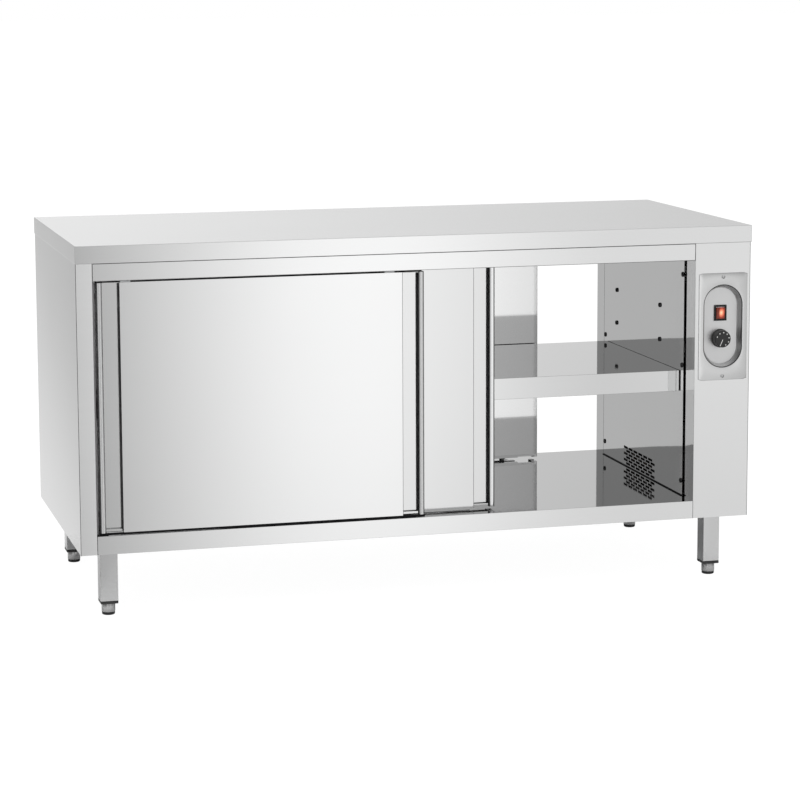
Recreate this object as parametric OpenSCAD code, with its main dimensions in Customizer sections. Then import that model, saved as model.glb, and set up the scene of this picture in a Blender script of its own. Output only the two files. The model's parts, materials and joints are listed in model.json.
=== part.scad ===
// Plate warmer cabinet: a free-standing stainless steel pass-through cabinet with two sliding
// doors on each long side, one shelf, and a control and heating column at its right-hand end.
// Millimetres. +X to the right, +Y to the back, +Z up; the origin is on the floor under the
// middle of the worktop.

/* [Cabinet] */
// Width over the worktop
cab_w = 1600; // [1400:10:2000]
// Depth over the worktop
cab_d = 700; // [680:10:800]
// Height to the top of the worktop
cab_h = 850; // [820:5:900]
// Thickness of the worktop's edge
worktop_t = 40; // [35:1:45]
// Height of the body's bottom edge above the floor
body_z = 153; // [140:1:180]
// Thickness of the folded sheet
sheet = 1.2; // [1:0.1:1.5]

/* [Front opening] */
// Width of the stile left of the opening
stile_w = 37; // [30:1:50]
// Width of the control column right of the opening
column_w = 138; // [130:1:200]
// Height of the bottom rail
bottom_rail_h = 42; // [36:1:50]
// Height of the top rail
top_rail_h = 40; // [38:1:50]

/* [Sliding doors] */
// Width of one door
door_w = 754.5; // [700:0.5:760]
// Thickness of one door
door_t = 36; // [34:1:37]
// Distance between the front faces of the outer and the inner door
door_pitch = 40; // [40:1:42]
// Width of the rounded nose at each end of a door
nose_w = 14; // [10:1:16]
// Clear width of the grip channel
grip_w = 38; // [30:1:45]
// Depth of the grip channel
grip_d = 32; // [25:1:32]
// How far the front right door stands left of closed
front_right_open = 472.5; // [0:0.5:650]
// How far the rear door that closes on the left stands right of closed
rear_left_open = 470; // [0:0.5:640]
// How far the rear door that closes on the right stands left of closed
rear_right_open = 250; // [0:0.5:640]

/* [Shelf] */
// Height of the shelf's upper face
shelf_z = 496.5; // [440:0.5:560]
// Height of the shelf's front lip
shelf_lip = 50; // [30:1:60]
// Distance between two shelf positions
hole_pitch = 84; // [60:1:100]

/* [Controls] */
// Width of the control plate
plate_w = 122; // [110:1:124]
// Height of the control plate
plate_h = 255; // [220:1:280]
// Width of the oval recess
dish_w = 94; // [80:1:98]
// Height of the oval recess
dish_h = 194; // [170:1:200]
// Depth of the oval recess
dish_depth = 17; // [14:1:20]
// Width of the rocker switch's frame
switch_w = 31; // [28:1:34]
// Height of the rocker switch's frame
switch_h = 37.5; // [34:0.5:40]
// Diameter of the thermostat knob's skirt
knob_d = 44; // [38:1:46]
// Length of the thermostat knob
knob_len = 20; // [16:1:20]

/* [Legs and feet] */
// Side of the square leg tube
leg_w = 40; // [35:1:45]
// Distance from the body's edges to the legs
leg_inset = 50; // [30:1:60]
// Diameter of a levelling foot
foot_d = 31; // [26:1:34]
// Travel of a levelling foot
foot_travel = 50; // [20:1:55]

/* [Hidden] */
$fn = 48;

// The body under the worktop
side_overhang = 1;
front_overhang = 5;
body_x = cab_w / 2 - side_overhang;
body_y = cab_d / 2 - front_overhang;
body_top = cab_h - worktop_t;
open_x0 = -body_x + stile_w;
open_x1 = body_x - column_w;
open_z0 = body_z + bottom_rail_h;
open_z1 = body_top - top_rail_h;

// Liners stand a little proud of the jambs, so that a closing door meets their bumpers
liner_proud = 3;
liner_x0 = open_x0 + liner_proud;
liner_x1 = open_x1 - liner_proud;
liner_half = 281;
jamb_half = 291;
liner_top = body_top - sheet;
ceiling_half = 264;
ceiling_z = 796;

// Doors: v counts from a door's face inwards
door_setback = 4;
door_gap_low = 6;
door_gap_high = 4;
door_z0 = open_z0 + door_gap_low;
door_z1 = open_z1 - door_gap_high;
door_face_outer = -body_y + door_setback;
door_face_inner = door_face_outer + door_pitch;
close_gap = 8.5;
stop_gap = 6;
closed_left = open_x0 + close_gap;
closed_right = open_x1 - stop_gap - door_w;
front_left_x = closed_left;
front_right_x = closed_right - front_right_open;
rear_left_x = closed_left + rear_left_open;
rear_right_x = closed_right - rear_right_open;
grip_end = nose_w + grip_w;
nose_r = 6;
hem = 8;
hem_side = 3;
back_v = grip_d + sheet + 0.2;
slot_v0 = 12;
slot_v1 = 24;
slot_top = 5;
grip_foot = 4.5;

// Hangers, rollers and tracks, placed from a door's face
hanger_left = 66;
hanger_right = 82;
hanger_w = 23;
hanger_foot_t = 3;
hanger_v0 = 20;
hanger_v1 = 23;
roller_r = 12;
roller_v0 = 7.5;
roller_v1 = 15.5;
axle_r = 3;
running_gap = 0.05;
track_z0 = open_z1 + 3;
track_t = 2;
track_v0 = 2.5;
track_v1 = 35.5;
track_slot_v0 = 17;
track_slot_v1 = 27;
track_end_gap = 1;
roll_gap = 0.3;
axle_z = track_z0 + track_t + roll_gap + roller_r;
guide_half = 20;
guide_v0 = 14;
guide_v1 = 22;
guide_h = door_gap_low + slot_top - 1.5;
guide_x = (closed_right + closed_left + door_w) / 2 - 30;

// Shelf and its holes
shelf_half = 258;
shelf_gap = 2;
hole_r = 4;
hole_y = [-121, 186];
hole_z0 = 469;
hole_rows = 3;
bumper_r = 6;
bumper_t = 2.5;
bumper_y = 271;
bumper_z = [231, 511, 729];

// Warm-air slots in the right liner: staggered rows
slot_len = 25;
slot_wide = 4;
slot_pitch_y = 35;
slot_pitch_z = 8;
slot_rows = 6;
slot_cols = 6;
slot_y0 = -93;
slot_z0 = open_z0 + 6;

// Controls, all on the column's centre line
ctl_x = (open_x1 + body_x) / 2 + 1;
plate_z = 611;
plate_t = 1.5;
dish_z = 612;
dish_draft = 5;
dish_floor_y = -body_y + dish_depth;
screw_off = 118;
switch_z = 641.5;
knob_z = 581;
switch_frame_t = 2.5;
switch_body_w = 27;
switch_body_h = 33;
switch_deep = 30;
rocker_w = 21;
rocker_h = 27;
rocker_pivot_y = dish_floor_y + 4;
rocker_tilt = 6;
rocker_pin_r = 1.5;
rocker_pin_half = rocker_w / 2 + 1.5;
shaft_r = 3;
thermo_w = 36;
thermo_d = 30;

// Fan, heater and duct behind the warm-air slots
duct_y0 = -106;
duct_y1 = 128;
duct_z0 = open_z0 + 1;
duct_z1 = open_z0 + 150;
duct_x1 = 742;
fan_y = 11;
fan_z = open_z0 + 78;
fan_r = 58;
fan_shaft_r = 4;
motor_r = 32;
heater_r = 4;
heater_x = 676;
heater_y0 = -63;
heater_y1 = 93;
heater_z0 = duct_z0 + 20;
heater_loop = 13;
heater_leg_z = [heater_z0, heater_z0 + 6 * heater_loop];

// Legs and feet
leg_top = body_z + 7;
leg_plate_t = 3;
leg_plate_w = 60;
leg_z0 = 34;
insert_t = 7;
insert_deep = 25;
pad_h = 7;
stem_r = 6;
stem_top = 112;
leg_x = body_x - leg_inset - leg_w / 2;
leg_y = body_y - leg_inset - leg_w / 2;

// A block between two corners
module block(lo, hi) {
    translate(lo)
        cube(hi - lo);
}

// A rod between two points
module rod(a, b, r) {
    run = b - a;
    len = norm(run);
    translate(a)
        rotate([0, acos(run.z / len), atan2(run.y, run.x)])
            cylinder(h = len, r = r);
}

// The same thing on the rear side of the cabinet
module on_rear() {
    mirror([0, 1, 0])
        children();
}

// ---------------------------------------------------------------- worktop

flange_w = 20;

module worktop_skin() {
    color("gainsboro")
        difference() {
            block([-cab_w / 2, -cab_d / 2, body_top], [cab_w / 2, cab_d / 2, cab_h]);
            block([-cab_w / 2 + sheet, -cab_d / 2 + sheet, body_top + sheet],
                  [cab_w / 2 - sheet, cab_d / 2 - sheet, cab_h - sheet]);
            block([-cab_w / 2 + flange_w, -cab_d / 2 + flange_w, body_top - 1],
                  [cab_w / 2 - flange_w, cab_d / 2 - flange_w, body_top + 2 * sheet]);
        }
}

module worktop_core_board() {
    color("burlywood")
        block([-cab_w / 2 + sheet, -cab_d / 2 + sheet, body_top + sheet],
              [cab_w / 2 - sheet, cab_d / 2 - sheet, cab_h - sheet]);
}

// ---------------------------------------------------------------- shell

// Stile at the left of the opening, with the jamb that turns in behind it
module left_stile() {
    block([-body_x, -body_y, body_z], [open_x0, -body_y + sheet, body_top]);
    block([open_x0 - sheet, -body_y, open_z0], [open_x0, -jamb_half, open_z1]);
}

module left_side_panel() {
    color("silver") {
        block([-body_x, -body_y, body_z], [-body_x + sheet, body_y, body_top]);
        block([-body_x, -body_y, body_top - sheet], [open_x0 - sheet, body_y, body_top]);
        left_stile();
        on_rear()
            left_stile();
    }
}

module shelf_holes(x) {
    for (y = hole_y, i = [0 : hole_rows - 1])
        translate([x - 5, y, hole_z0 + i * hole_pitch])
            rotate([0, 90, 0])
                cylinder(h = 10, r = hole_r);
}

module left_liner() {
    color("lightgray")
        difference() {
            block([liner_x0 - sheet, -liner_half, open_z0], [liner_x0, liner_half, liner_top]);
            shelf_holes(liner_x0);
        }
}

module warm_air_slots() {
    for (row = [0 : slot_rows - 1], col = [0 : slot_cols - 1])
        translate([liner_x1 - 1, slot_y0 + col * slot_pitch_y + (row % 2) * slot_pitch_y / 2,
                   slot_z0 + row * slot_pitch_z])
            cube([sheet + 2, slot_len, slot_wide]);
}

module right_liner() {
    color("lightgray")
        difference() {
            block([liner_x1, -liner_half, open_z0], [liner_x1 + sheet, liner_half, liner_top]);
            shelf_holes(liner_x1);
            warm_air_slots();
        }
}

module right_side_panel() {
    color("silver") {
        block([body_x - sheet, -body_y + sheet, body_z], [body_x, body_y - sheet, body_top]);
        block([body_x - 30, -body_y + sheet, body_top - sheet], [body_x, body_y - sheet, body_top]);
    }
}

// Bottom rail: the floor pan's edge, folded down and back in
module bottom_rail() {
    block([open_x0, -body_y, body_z], [open_x1, -body_y + sheet, open_z0]);
    block([open_x0, -body_y, body_z], [open_x1, -body_y + 15, body_z + sheet]);
}

module floor_pan() {
    color("lightgray") {
        block([open_x0, -body_y, open_z0 - sheet], [open_x1, body_y, open_z0]);
        bottom_rail();
        on_rear()
            bottom_rail();
    }
}

gland_x = 735;
gland_y = 130;
gland_hole_r = 10.2;

module underside_cover() {
    color("darkgray")
        difference() {
            block([-body_x + sheet, -body_y + sheet, leg_top],
                  [body_x - sheet, body_y - sheet, leg_top + sheet]);
            translate([gland_x, gland_y, leg_top - 1])
                cylinder(h = sheet + 2, r = gland_hole_r);
        }
}

module insulation_slabs() {
    color("khaki") {
        block([-body_x + sheet, -jamb_half + 4, leg_top + sheet],
              [open_x0 - 5, jamb_half - 4, body_top - 10]);
        block([open_x0 + 4, -body_y + 20, leg_top + sheet],
              [open_x1 - 4, body_y - 20, open_z0 - sheet]);
    }
}

// Inner ceiling between the front and the rear door tracks
module ceiling_panel() {
    color("lightgray")
        block([liner_x0, -ceiling_half, ceiling_z], [liner_x1, ceiling_half, ceiling_z + sheet]);
}

rail_flange = 83;
rail_lip = 5.5;

module top_rail() {
    block([open_x0, -body_y, open_z1], [open_x1, -body_y + sheet, body_top]);
    block([open_x0, -body_y, open_z1], [open_x1, -body_y + rail_lip, open_z1 + sheet]);
    block([open_x0, -body_y, body_top - sheet], [open_x1, -body_y + rail_flange, body_top]);
}

module front_top_rail() {
    color("silver")
        top_rail();
}

module rear_top_rail() {
    color("silver")
        on_rear()
            top_rail();
}

// A cover of the column, with the jamb that turns in at its left edge
module column_cover() {
    block([open_x1, -body_y, body_z], [body_x, -body_y + sheet, body_top]);
    block([open_x1, -body_y, open_z0], [open_x1 + sheet, -jamb_half, open_z1]);
}

module stadium_prism(w, h, y0, y1) {
    straight = h - w;
    for (s = [-1, 1])
        translate([0, y0, s * straight / 2])
            rotate([-90, 0, 0])
                cylinder(h = y1 - y0, r = w / 2, $fn = 96);
    block([-w / 2, y0, -straight / 2], [w / 2, y1, straight / 2]);
}

dish_clear = 1;
screw_r = 2;
screw_clear = 0.1;

module dish_screw_holes() {
    for (s = [-1, 1])
        translate([ctl_x, -body_y - 5, plate_z + s * screw_off])
            rotate([-90, 0, 0])
                cylinder(h = 10, r = screw_r + screw_clear);
}

module column_front_cover() {
    color("silver")
        difference() {
            column_cover();
            translate([ctl_x, 0, dish_z])
                stadium_prism(dish_w + 2 * dish_clear, dish_h + 2 * dish_clear,
                              -body_y - 1, -body_y + sheet + 1);
            dish_screw_holes();
        }
}

module column_rear_cover() {
    color("silver")
        on_rear()
            column_cover();
}

// ---------------------------------------------------------------- door tracks

// One C-shaped channel with a slot underneath, seen from its end
module channel_profile(face) {
    top = body_top - sheet;
    translate([face, 0]) {
        translate([track_v0, top - track_t])
            square([track_v1 - track_v0, track_t]);
        translate([track_v0, track_z0])
            square([track_slot_v0 - track_v0, track_t]);
        translate([track_slot_v1, track_z0])
            square([track_v1 - track_slot_v1, track_t]);
        for (v = [track_v0, track_v1 - track_t])
            translate([v, track_z0])
                square([track_t, top - track_z0]);
    }
}

module double_track() {
    x0 = liner_x0 + track_end_gap;
    x1 = liner_x1 - track_end_gap;
    translate([x0, 0, 0])
        rotate([90, 0, 90])
            linear_extrude(x1 - x0) {
                channel_profile(door_face_outer);
                channel_profile(door_face_inner);
                translate([door_face_outer + track_v1 - 1, body_top - sheet - track_t])
                    square([door_pitch - track_v1 + track_v0 + 2, track_t]);
            }
}

module front_top_track() {
    color("dimgray")
        double_track();
}

module rear_top_track() {
    color("dimgray")
        on_rear()
            double_track();
}

// ---------------------------------------------------------------- doors

// A bar with two rounded front corners, in plan
module rounded_bar(w, d, r) {
    translate([0, r])
        square([w, d - r]);
    translate([r, 0])
        square([w - 2 * r, d]);
    translate([r, r])
        circle(r);
    translate([w - r, r])
        circle(r);
}

// Left end of a door in plan: nose, grip channel and the turn into the panel
module door_end_profile() {
    difference() {
        rounded_bar(nose_w, door_t, nose_r);
        translate([sheet, sheet])
            rounded_bar(nose_w - 2 * sheet, door_t, nose_r - sheet);
        translate([nose_w - sheet - 0.5, grip_d + sheet])
            square([sheet + 1, door_t]);
    }
    translate([nose_w - sheet, grip_d])
        square([grip_w + 2 * sheet, sheet]);
    translate([grip_end, 0])
        square([sheet, grip_d + sheet]);
    translate([0, door_t - sheet])
        square([hem_side, sheet]);
}

module door_plan() {
    door_end_profile();
    translate([door_w, 0])
        mirror([1, 0])
            door_end_profile();
    translate([grip_end, 0])
        square([door_w - 2 * grip_end, sheet]);
}

// Plate that closes the top of a grip channel
module grip_cap() {
    block([nose_w, sheet + 2, door_z1 - sheet], [grip_end, grip_d, door_z1]);
}

// Foot of a grip channel: its floor stops short of the door's lower edge
module grip_foot_cut() {
    block([nose_w, 1, door_z0 - 1], [grip_end, door_t + 1, door_z0 + grip_foot]);
}

// Ends of the hollow nose
module nose_caps() {
    for (z = [door_z0, door_z1 - sheet])
        translate([0, 0, z])
            linear_extrude(sheet)
                rounded_bar(nose_w, door_t, nose_r);
}

module at_both_ends() {
    children();
    translate([door_w, 0, 0])
        mirror([1, 0, 0])
            children();
}

// One door's outer skin, its left edge at x = 0 and its face at y = 0
module door_skin() {
    difference() {
        union() {
            translate([0, 0, door_z0])
                linear_extrude(door_z1 - door_z0)
                    door_plan();
            block([grip_end, 0, door_z1 - sheet], [door_w - grip_end, door_t, door_z1]);
            block([grip_end, 0, door_z0], [door_w - grip_end, door_t, door_z0 + sheet]);
            block([0, door_t - sheet, door_z0], [door_w, door_t, door_z0 + hem]);
            block([0, door_t - sheet, door_z1 - hem], [door_w, door_t, door_z1]);
            at_both_ends() {
                grip_cap();
                nose_caps();
            }
        }
        block([-1, slot_v0, door_z0 - 1], [door_w + 1, slot_v1, door_z0 + slot_top]);
        at_both_ends()
            grip_foot_cut();
    }
}

// One door's inner skin, held behind the hem
module door_back() {
    edge = sheet + 0.5;
    block([edge, back_v, door_z0 + sheet + 0.5],
          [door_w - edge, back_v + sheet, door_z1 - sheet - 0.5]);
}

// A hanger bracket with its axle pin, centred on x = 0
module hanger() {
    block([-hanger_w / 2, 2, door_z1], [hanger_w / 2, 30, door_z1 + hanger_foot_t]);
    difference() {
        union() {
            block([-hanger_w / 2, hanger_v0, door_z1 + hanger_foot_t],
                  [hanger_w / 2, hanger_v1, axle_z]);
            translate([0, hanger_v0, axle_z])
                rotate([-90, 0, 0])
                    cylinder(h = hanger_v1 - hanger_v0, r = 9);
        }
        block([-hanger_w, hanger_v0 - 1, axle_z + 8], [hanger_w, hanger_v1 + 1, axle_z + 20]);
    }
    translate([0, roller_v0 - 2, axle_z])
        rotate([-90, 0, 0])
            cylinder(h = 1.5, r = 5);
    translate([0, roller_v0 - 1, axle_z])
        rotate([-90, 0, 0])
            cylinder(h = hanger_v0 - roller_v0 + 1, r = axle_r);
    translate([0, roller_v1 + 0.5, axle_z])
        rotate([-90, 0, 0])
            cylinder(h = hanger_v0 - roller_v1 - 0.5, r = 5);
}

module hangers() {
    for (x = [hanger_left, door_w - hanger_right])
        translate([x, 0, 0])
            hanger();
}

module roller(x) {
    translate([x, roller_v0, axle_z])
        rotate([-90, 0, 0])
            rotate_extrude()
                polygon([
                    [axle_r + running_gap, 0],
                    [roller_r - 1, 0],
                    [roller_r, 1],
                    [roller_r, roller_v1 - roller_v0 - 1],
                    [roller_r - 1, roller_v1 - roller_v0],
                    [axle_r + running_gap, roller_v1 - roller_v0]
                ]);
}

module at_front_left() {
    translate([front_left_x, door_face_outer, 0])
        children();
}

module at_front_right() {
    translate([front_right_x, door_face_inner, 0])
        children();
}

module at_rear_left() {
    on_rear()
        translate([rear_left_x, door_face_inner, 0])
            children();
}

module at_rear_right() {
    on_rear()
        translate([rear_right_x, door_face_outer, 0])
            children();
}

// Low blocks on the floor that run in the slot under every door of a pair
module pair_guides() {
    for (face = [door_face_outer, door_face_inner])
        block([guide_x - guide_half, face + guide_v0, open_z0],
              [guide_x + guide_half, face + guide_v1, open_z0 + guide_h]);
}

module door_guides() {
    color("whitesmoke") {
        pair_guides();
        on_rear()
            pair_guides();
    }
}

module door_bumpers() {
    color("black")
        for (y = [-bumper_y, bumper_y], z = bumper_z) {
            translate([liner_x0, y, z])
                rotate([0, 90, 0])
                    cylinder(h = bumper_t, r = bumper_r);
            translate([liner_x1 - bumper_t, y, z])
                rotate([0, 90, 0])
                    cylinder(h = bumper_t, r = bumper_r);
        }
}

// ---------------------------------------------------------------- shelf

shelf_lip_turn = 15;
stiffener_w = 80;
stiffener_h = 20;

module shelf() {
    x0 = liner_x0 + shelf_gap;
    x1 = liner_x1 - shelf_gap;
    color("lightgray") {
        block([x0, -shelf_half, shelf_z - sheet], [x1, shelf_half, shelf_z]);
        for (s = [-1, 1]) {
            edge = s * (shelf_half - sheet / 2);
            block([x0, edge - sheet / 2, shelf_z - shelf_lip], [x1, edge + sheet / 2, shelf_z]);
            turn = s * (shelf_half - shelf_lip_turn / 2);
            block([x0, turn - shelf_lip_turn / 2, shelf_z - shelf_lip],
                  [x1, turn + shelf_lip_turn / 2, shelf_z - shelf_lip + sheet]);
        }
        for (x = [x0, x1 - sheet])
            block([x, -shelf_half, shelf_z - stiffener_h], [x + sheet, shelf_half, shelf_z]);
        for (s = [-1, 1])
            translate([0, s * (stiffener_w - sheet) / 2, 0])
                block([x0, -sheet / 2, shelf_z - stiffener_h], [x1, sheet / 2, shelf_z]);
        block([x0, -stiffener_w / 2, shelf_z - stiffener_h],
              [x1, stiffener_w / 2, shelf_z - stiffener_h + sheet]);
    }
}

support_reach = 14;

// Studs in the lowest holes, each with a collar that the shelf's end edge rests on
module shelf_supports() {
    collar_r = shelf_z - stiffener_h - hole_z0;
    color("gray")
        for (y = hole_y) {
            translate([liner_x0 - 6, y, hole_z0])
                rotate([0, 90, 0]) {
                    cylinder(h = 6 + support_reach, r = hole_r - 0.1);
                    translate([0, 0, 6])
                        cylinder(h = support_reach, r = collar_r);
                }
            translate([liner_x1 + 6, y, hole_z0])
                rotate([0, -90, 0]) {
                    cylinder(h = 6 + support_reach, r = hole_r - 0.1);
                    translate([0, 0, 6])
                        cylinder(h = support_reach, r = collar_r);
                }
        }
}

// ---------------------------------------------------------------- controls

// An oval cone: the recess as a solid, or its hollow
module dish_cone(w, h, depth, draft) {
    straight = h - w;
    for (s = [-1, 1])
        translate([0, 0, s * straight / 2])
            rotate([-90, 0, 0])
                cylinder(h = depth, r1 = w / 2, r2 = w / 2 - draft, $fn = 96);
    translate([0, 0, -straight / 2])
        linear_extrude(straight)
            polygon([[-w / 2, 0], [w / 2, 0], [w / 2 - draft, depth], [-w / 2 + draft, depth]]);
}

module control_dish() {
    deep = dish_depth + plate_t;
    color("silver")
        difference() {
            union() {
                block([ctl_x - plate_w / 2, -body_y - plate_t, plate_z - plate_h / 2],
                      [ctl_x + plate_w / 2, -body_y, plate_z + plate_h / 2]);
                translate([ctl_x, -body_y, dish_z])
                    dish_cone(dish_w, dish_h, dish_depth + sheet, dish_draft);
            }
            translate([ctl_x, -body_y - plate_t - 0.01, dish_z])
                dish_cone(dish_w - 2 * sheet, dish_h - 2 * sheet, deep + 0.01, dish_draft);
            dish_screw_holes();
            block([ctl_x - switch_body_w / 2 - 0.3, dish_floor_y - 2, switch_z - switch_body_h / 2 - 0.3],
                  [ctl_x + switch_body_w / 2 + 0.3, dish_floor_y + 3, switch_z + switch_body_h / 2 + 0.3]);
            translate([ctl_x, dish_floor_y - 2, knob_z])
                rotate([-90, 0, 0])
                    cylinder(h = 5, r = shaft_r + 2);
        }
}

module dish_screws() {
    color("gray")
        for (s = [-1, 1])
            translate([ctl_x, -body_y - plate_t, plate_z + s * screw_off])
                rotate([-90, 0, 0])
                    difference() {
                        union() {
                            translate([0, 0, -1.8])
                                cylinder(h = 1.8, r1 = 2.6, r2 = 3.8);
                            cylinder(h = 10, r = screw_r);
                        }
                        for (a = [0, 90])
                            rotate([0, 0, a])
                                translate([-2, -0.4, -2])
                                    cube([4, 0.8, 1.2]);
                    }
}

rocker_room = 0.8;

module switch_housing() {
    y0 = dish_floor_y - switch_frame_t;
    color("black")
        difference() {
            union() {
                block([ctl_x - switch_w / 2, y0, switch_z - switch_h / 2],
                      [ctl_x + switch_w / 2, dish_floor_y, switch_z + switch_h / 2]);
                block([ctl_x - switch_body_w / 2, dish_floor_y, switch_z - switch_body_h / 2],
                      [ctl_x + switch_body_w / 2, dish_floor_y + switch_deep,
                       switch_z + switch_body_h / 2]);
            }
            block([ctl_x - rocker_w / 2 - 0.5, y0 - 1, switch_z - rocker_h / 2 - rocker_room],
                  [ctl_x + rocker_w / 2 + 0.5, dish_floor_y + 10,
                   switch_z + rocker_h / 2 + rocker_room]);
            translate([ctl_x - rocker_pin_half - 0.5, rocker_pivot_y, switch_z])
                rotate([0, 90, 0])
                    cylinder(h = 2 * rocker_pin_half + 1, r = rocker_pin_r + running_gap);
        }
}

// The rocker's face is two flats that meet at a shallow angle over the pivot
module switch_rocker() {
    front = switch_frame_t + 4 + 2.5;
    color("orangered") {
        translate([ctl_x - rocker_pin_half, rocker_pivot_y, switch_z])
            rotate([0, 90, 0])
                cylinder(h = 2 * rocker_pin_half, r = rocker_pin_r);
        translate([ctl_x - rocker_w / 2, rocker_pivot_y, switch_z])
            rotate([rocker_tilt, 0, 0])
                rotate([90, 0, 90])
                    linear_extrude(rocker_w)
                        polygon([
                            [-front, -rocker_h / 2 + 0.5],
                            [-front + 1.6, 0],
                            [-front, rocker_h / 2 - 0.5],
                            [-1, rocker_h / 2 - 0.2],
                            [3, 3],
                            [3, -3],
                            [-1, -rocker_h / 2 + 0.2]
                        ]);
    }
}

bulb_r = 4;
bulb_len = 90;
bulb_y = -60;
bulb_z = duct_z1 + bulb_r;
capillary_r = 1.2;
capillary_y = -266;

// Thermostat behind the recess, with its capillary led down to the bulb on the duct
module thermostat_body() {
    y0 = dish_floor_y + sheet;
    y1 = y0 + thermo_d;
    color("dimgray")
        difference() {
            union() {
                block([ctl_x - thermo_w / 2, y0, knob_z - thermo_w / 2],
                      [ctl_x + thermo_w / 2, y1, knob_z + thermo_w / 2]);
                rod([ctl_x, y1 - 1, knob_z], [ctl_x, capillary_y + 2, knob_z], capillary_r);
                rod([ctl_x, capillary_y, bulb_z - 2], [ctl_x, capillary_y, knob_z + 2],
                    capillary_r + 0.2);
                rod([ctl_x, capillary_y - 2, bulb_z], [ctl_x, bulb_y + 1, bulb_z], capillary_r);
                rod([ctl_x, bulb_y, bulb_z], [ctl_x, bulb_y + bulb_len, bulb_z], bulb_r);
            }
            translate([ctl_x, y0 - 1, knob_z])
                rotate([-90, 0, 0])
                    cylinder(h = thermo_d - 3, r = shaft_r + running_gap);
        }
}

knob_face_r = 19.8;
knob_skirt_h = 3.5;
knob_gap = 0.8;
dot_count = 7;
dot_from = -69;
dot_step = 37.1;
dot_ring = 15.5;
pointer_angle = 204.5;

// Places a child on the knob's face at a clockwise angle from the top, seen from the front
module on_dial(angle, radius) {
    rotate([0, angle, 0])
        translate([0, 0, radius])
            children();
}

module thermostat_knob() {
    base = dish_floor_y - knob_gap;
    color("black")
        translate([ctl_x, base, knob_z])
            difference() {
                union() {
                    rotate([90, 0, 0])
                        rotate_extrude($fn = 96)
                            polygon([
                                [0, 0],
                                [knob_d / 2, 0],
                                [knob_d / 2, knob_skirt_h],
                                [knob_face_r + 0.8, knob_skirt_h + 1],
                                [knob_face_r, knob_len - 1],
                                [knob_face_r - 1, knob_len],
                                [0, knob_len]
                            ]);
                    rotate([-90, 0, 0])
                        cylinder(h = thermo_d - 5, r = shaft_r);
                }
                for (i = [0 : dot_count - 1])
                    on_dial(dot_from + i * dot_step, dot_ring)
                        translate([0, -knob_len + 0.4, 0])
                            rotate([90, 0, 0])
                                cylinder(h = 1, r = 1.4, $fn = 24);
                on_dial(pointer_angle, 0)
                    block([-0.7, -knob_len - 1, 1], [0.7, -knob_len + 0.4, knob_face_r - 1.5]);
            }
}

// ---------------------------------------------------------------- fan and heater

// Sheet box against the right liner, open towards the warm-air slots
module air_duct() {
    color("lightsteelblue")
        difference() {
            block([liner_x1 + sheet, duct_y0, duct_z0], [duct_x1, duct_y1, duct_z1]);
            block([liner_x1, duct_y0 + sheet, duct_z0 + sheet],
                  [duct_x1 - sheet, duct_y1 - sheet, duct_z1 - sheet]);
            translate([duct_x1 - 5, fan_y, fan_z])
                rotate([0, 90, 0])
                    cylinder(h = 10, r = fan_shaft_r + 3);
            for (z = heater_leg_z)
                translate([duct_x1 - 5, heater_y0, z])
                    rotate([0, 90, 0])
                        cylinder(h = 10, r = heater_r + 0.2);
        }
}

module fan_motor() {
    color("dimgray")
        difference() {
            translate([duct_x1, fan_y, fan_z])
                rotate([0, 90, 0]) {
                    cylinder(h = 3, r = motor_r + 8);
                    cylinder(h = 44, r = motor_r);
                }
            translate([duct_x1 - 1, fan_y, fan_z])
                rotate([0, 90, 0])
                    cylinder(h = 30, r = fan_shaft_r + running_gap);
        }
}

blade_count = 16;
blade_inner = 34;
impeller_x0 = 700;
impeller_w = 28;

module fan_impeller() {
    color("gainsboro")
        translate([impeller_x0, fan_y, fan_z])
            rotate([0, 90, 0]) {
                translate([0, 0, impeller_w - 2])
                    cylinder(h = 2, r = fan_r);
                difference() {
                    cylinder(h = 2, r = fan_r);
                    translate([0, 0, -1])
                        cylinder(h = 4, r = blade_inner);
                }
                for (i = [0 : blade_count - 1])
                    rotate([0, 0, i * 360 / blade_count])
                        translate([blade_inner, -0.7, 1])
                            rotate([0, 0, 25])
                                cube([24, 1.4, impeller_w - 2]);
                translate([0, 0, impeller_w - 12])
                    cylinder(h = 12, r = 10);
                translate([0, 0, impeller_w - 1])
                    cylinder(h = duct_x1 - impeller_x0 - impeller_w + 26, r = fan_shaft_r);
            }
}

heater_runs = 4;
heater_leg_out = 12;
heater_bar = 5;

// A frame heater: sheathed rods between two end bars, and two legs through the duct
module heating_element() {
    color("indianred") {
        for (i = [0 : heater_runs - 1])
            rod([heater_x, heater_y0, heater_z0 + 2 * i * heater_loop],
                [heater_x, heater_y1, heater_z0 + 2 * i * heater_loop], heater_r);
        for (y = [heater_y0, heater_y1])
            block([heater_x - heater_bar, y - heater_bar, heater_leg_z[0] - heater_bar - 1],
                  [heater_x + heater_bar, y + heater_bar, heater_leg_z[1] + heater_bar + 1]);
        for (z = heater_leg_z)
            rod([heater_x, heater_y0, z], [duct_x1 + heater_leg_out, heater_y0, z], heater_r);
    }
}

// ---------------------------------------------------------------- electrics

terminal_w = 12;
terminal_h = 22;
terminal_top = leg_top + sheet + terminal_h;
loom_x = 732;
loom_y = 213;

module terminal_block() {
    color("ivory")
        for (i = [-1.5, -0.5, 0.5, 1.5])
            translate([loom_x + i * 14, loom_y, 0])
                block([-terminal_w / 2, -13, leg_top + sheet], [terminal_w / 2, 13, terminal_top]);
}

gland_bore_r = 5;
gland_len = 34;

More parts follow.
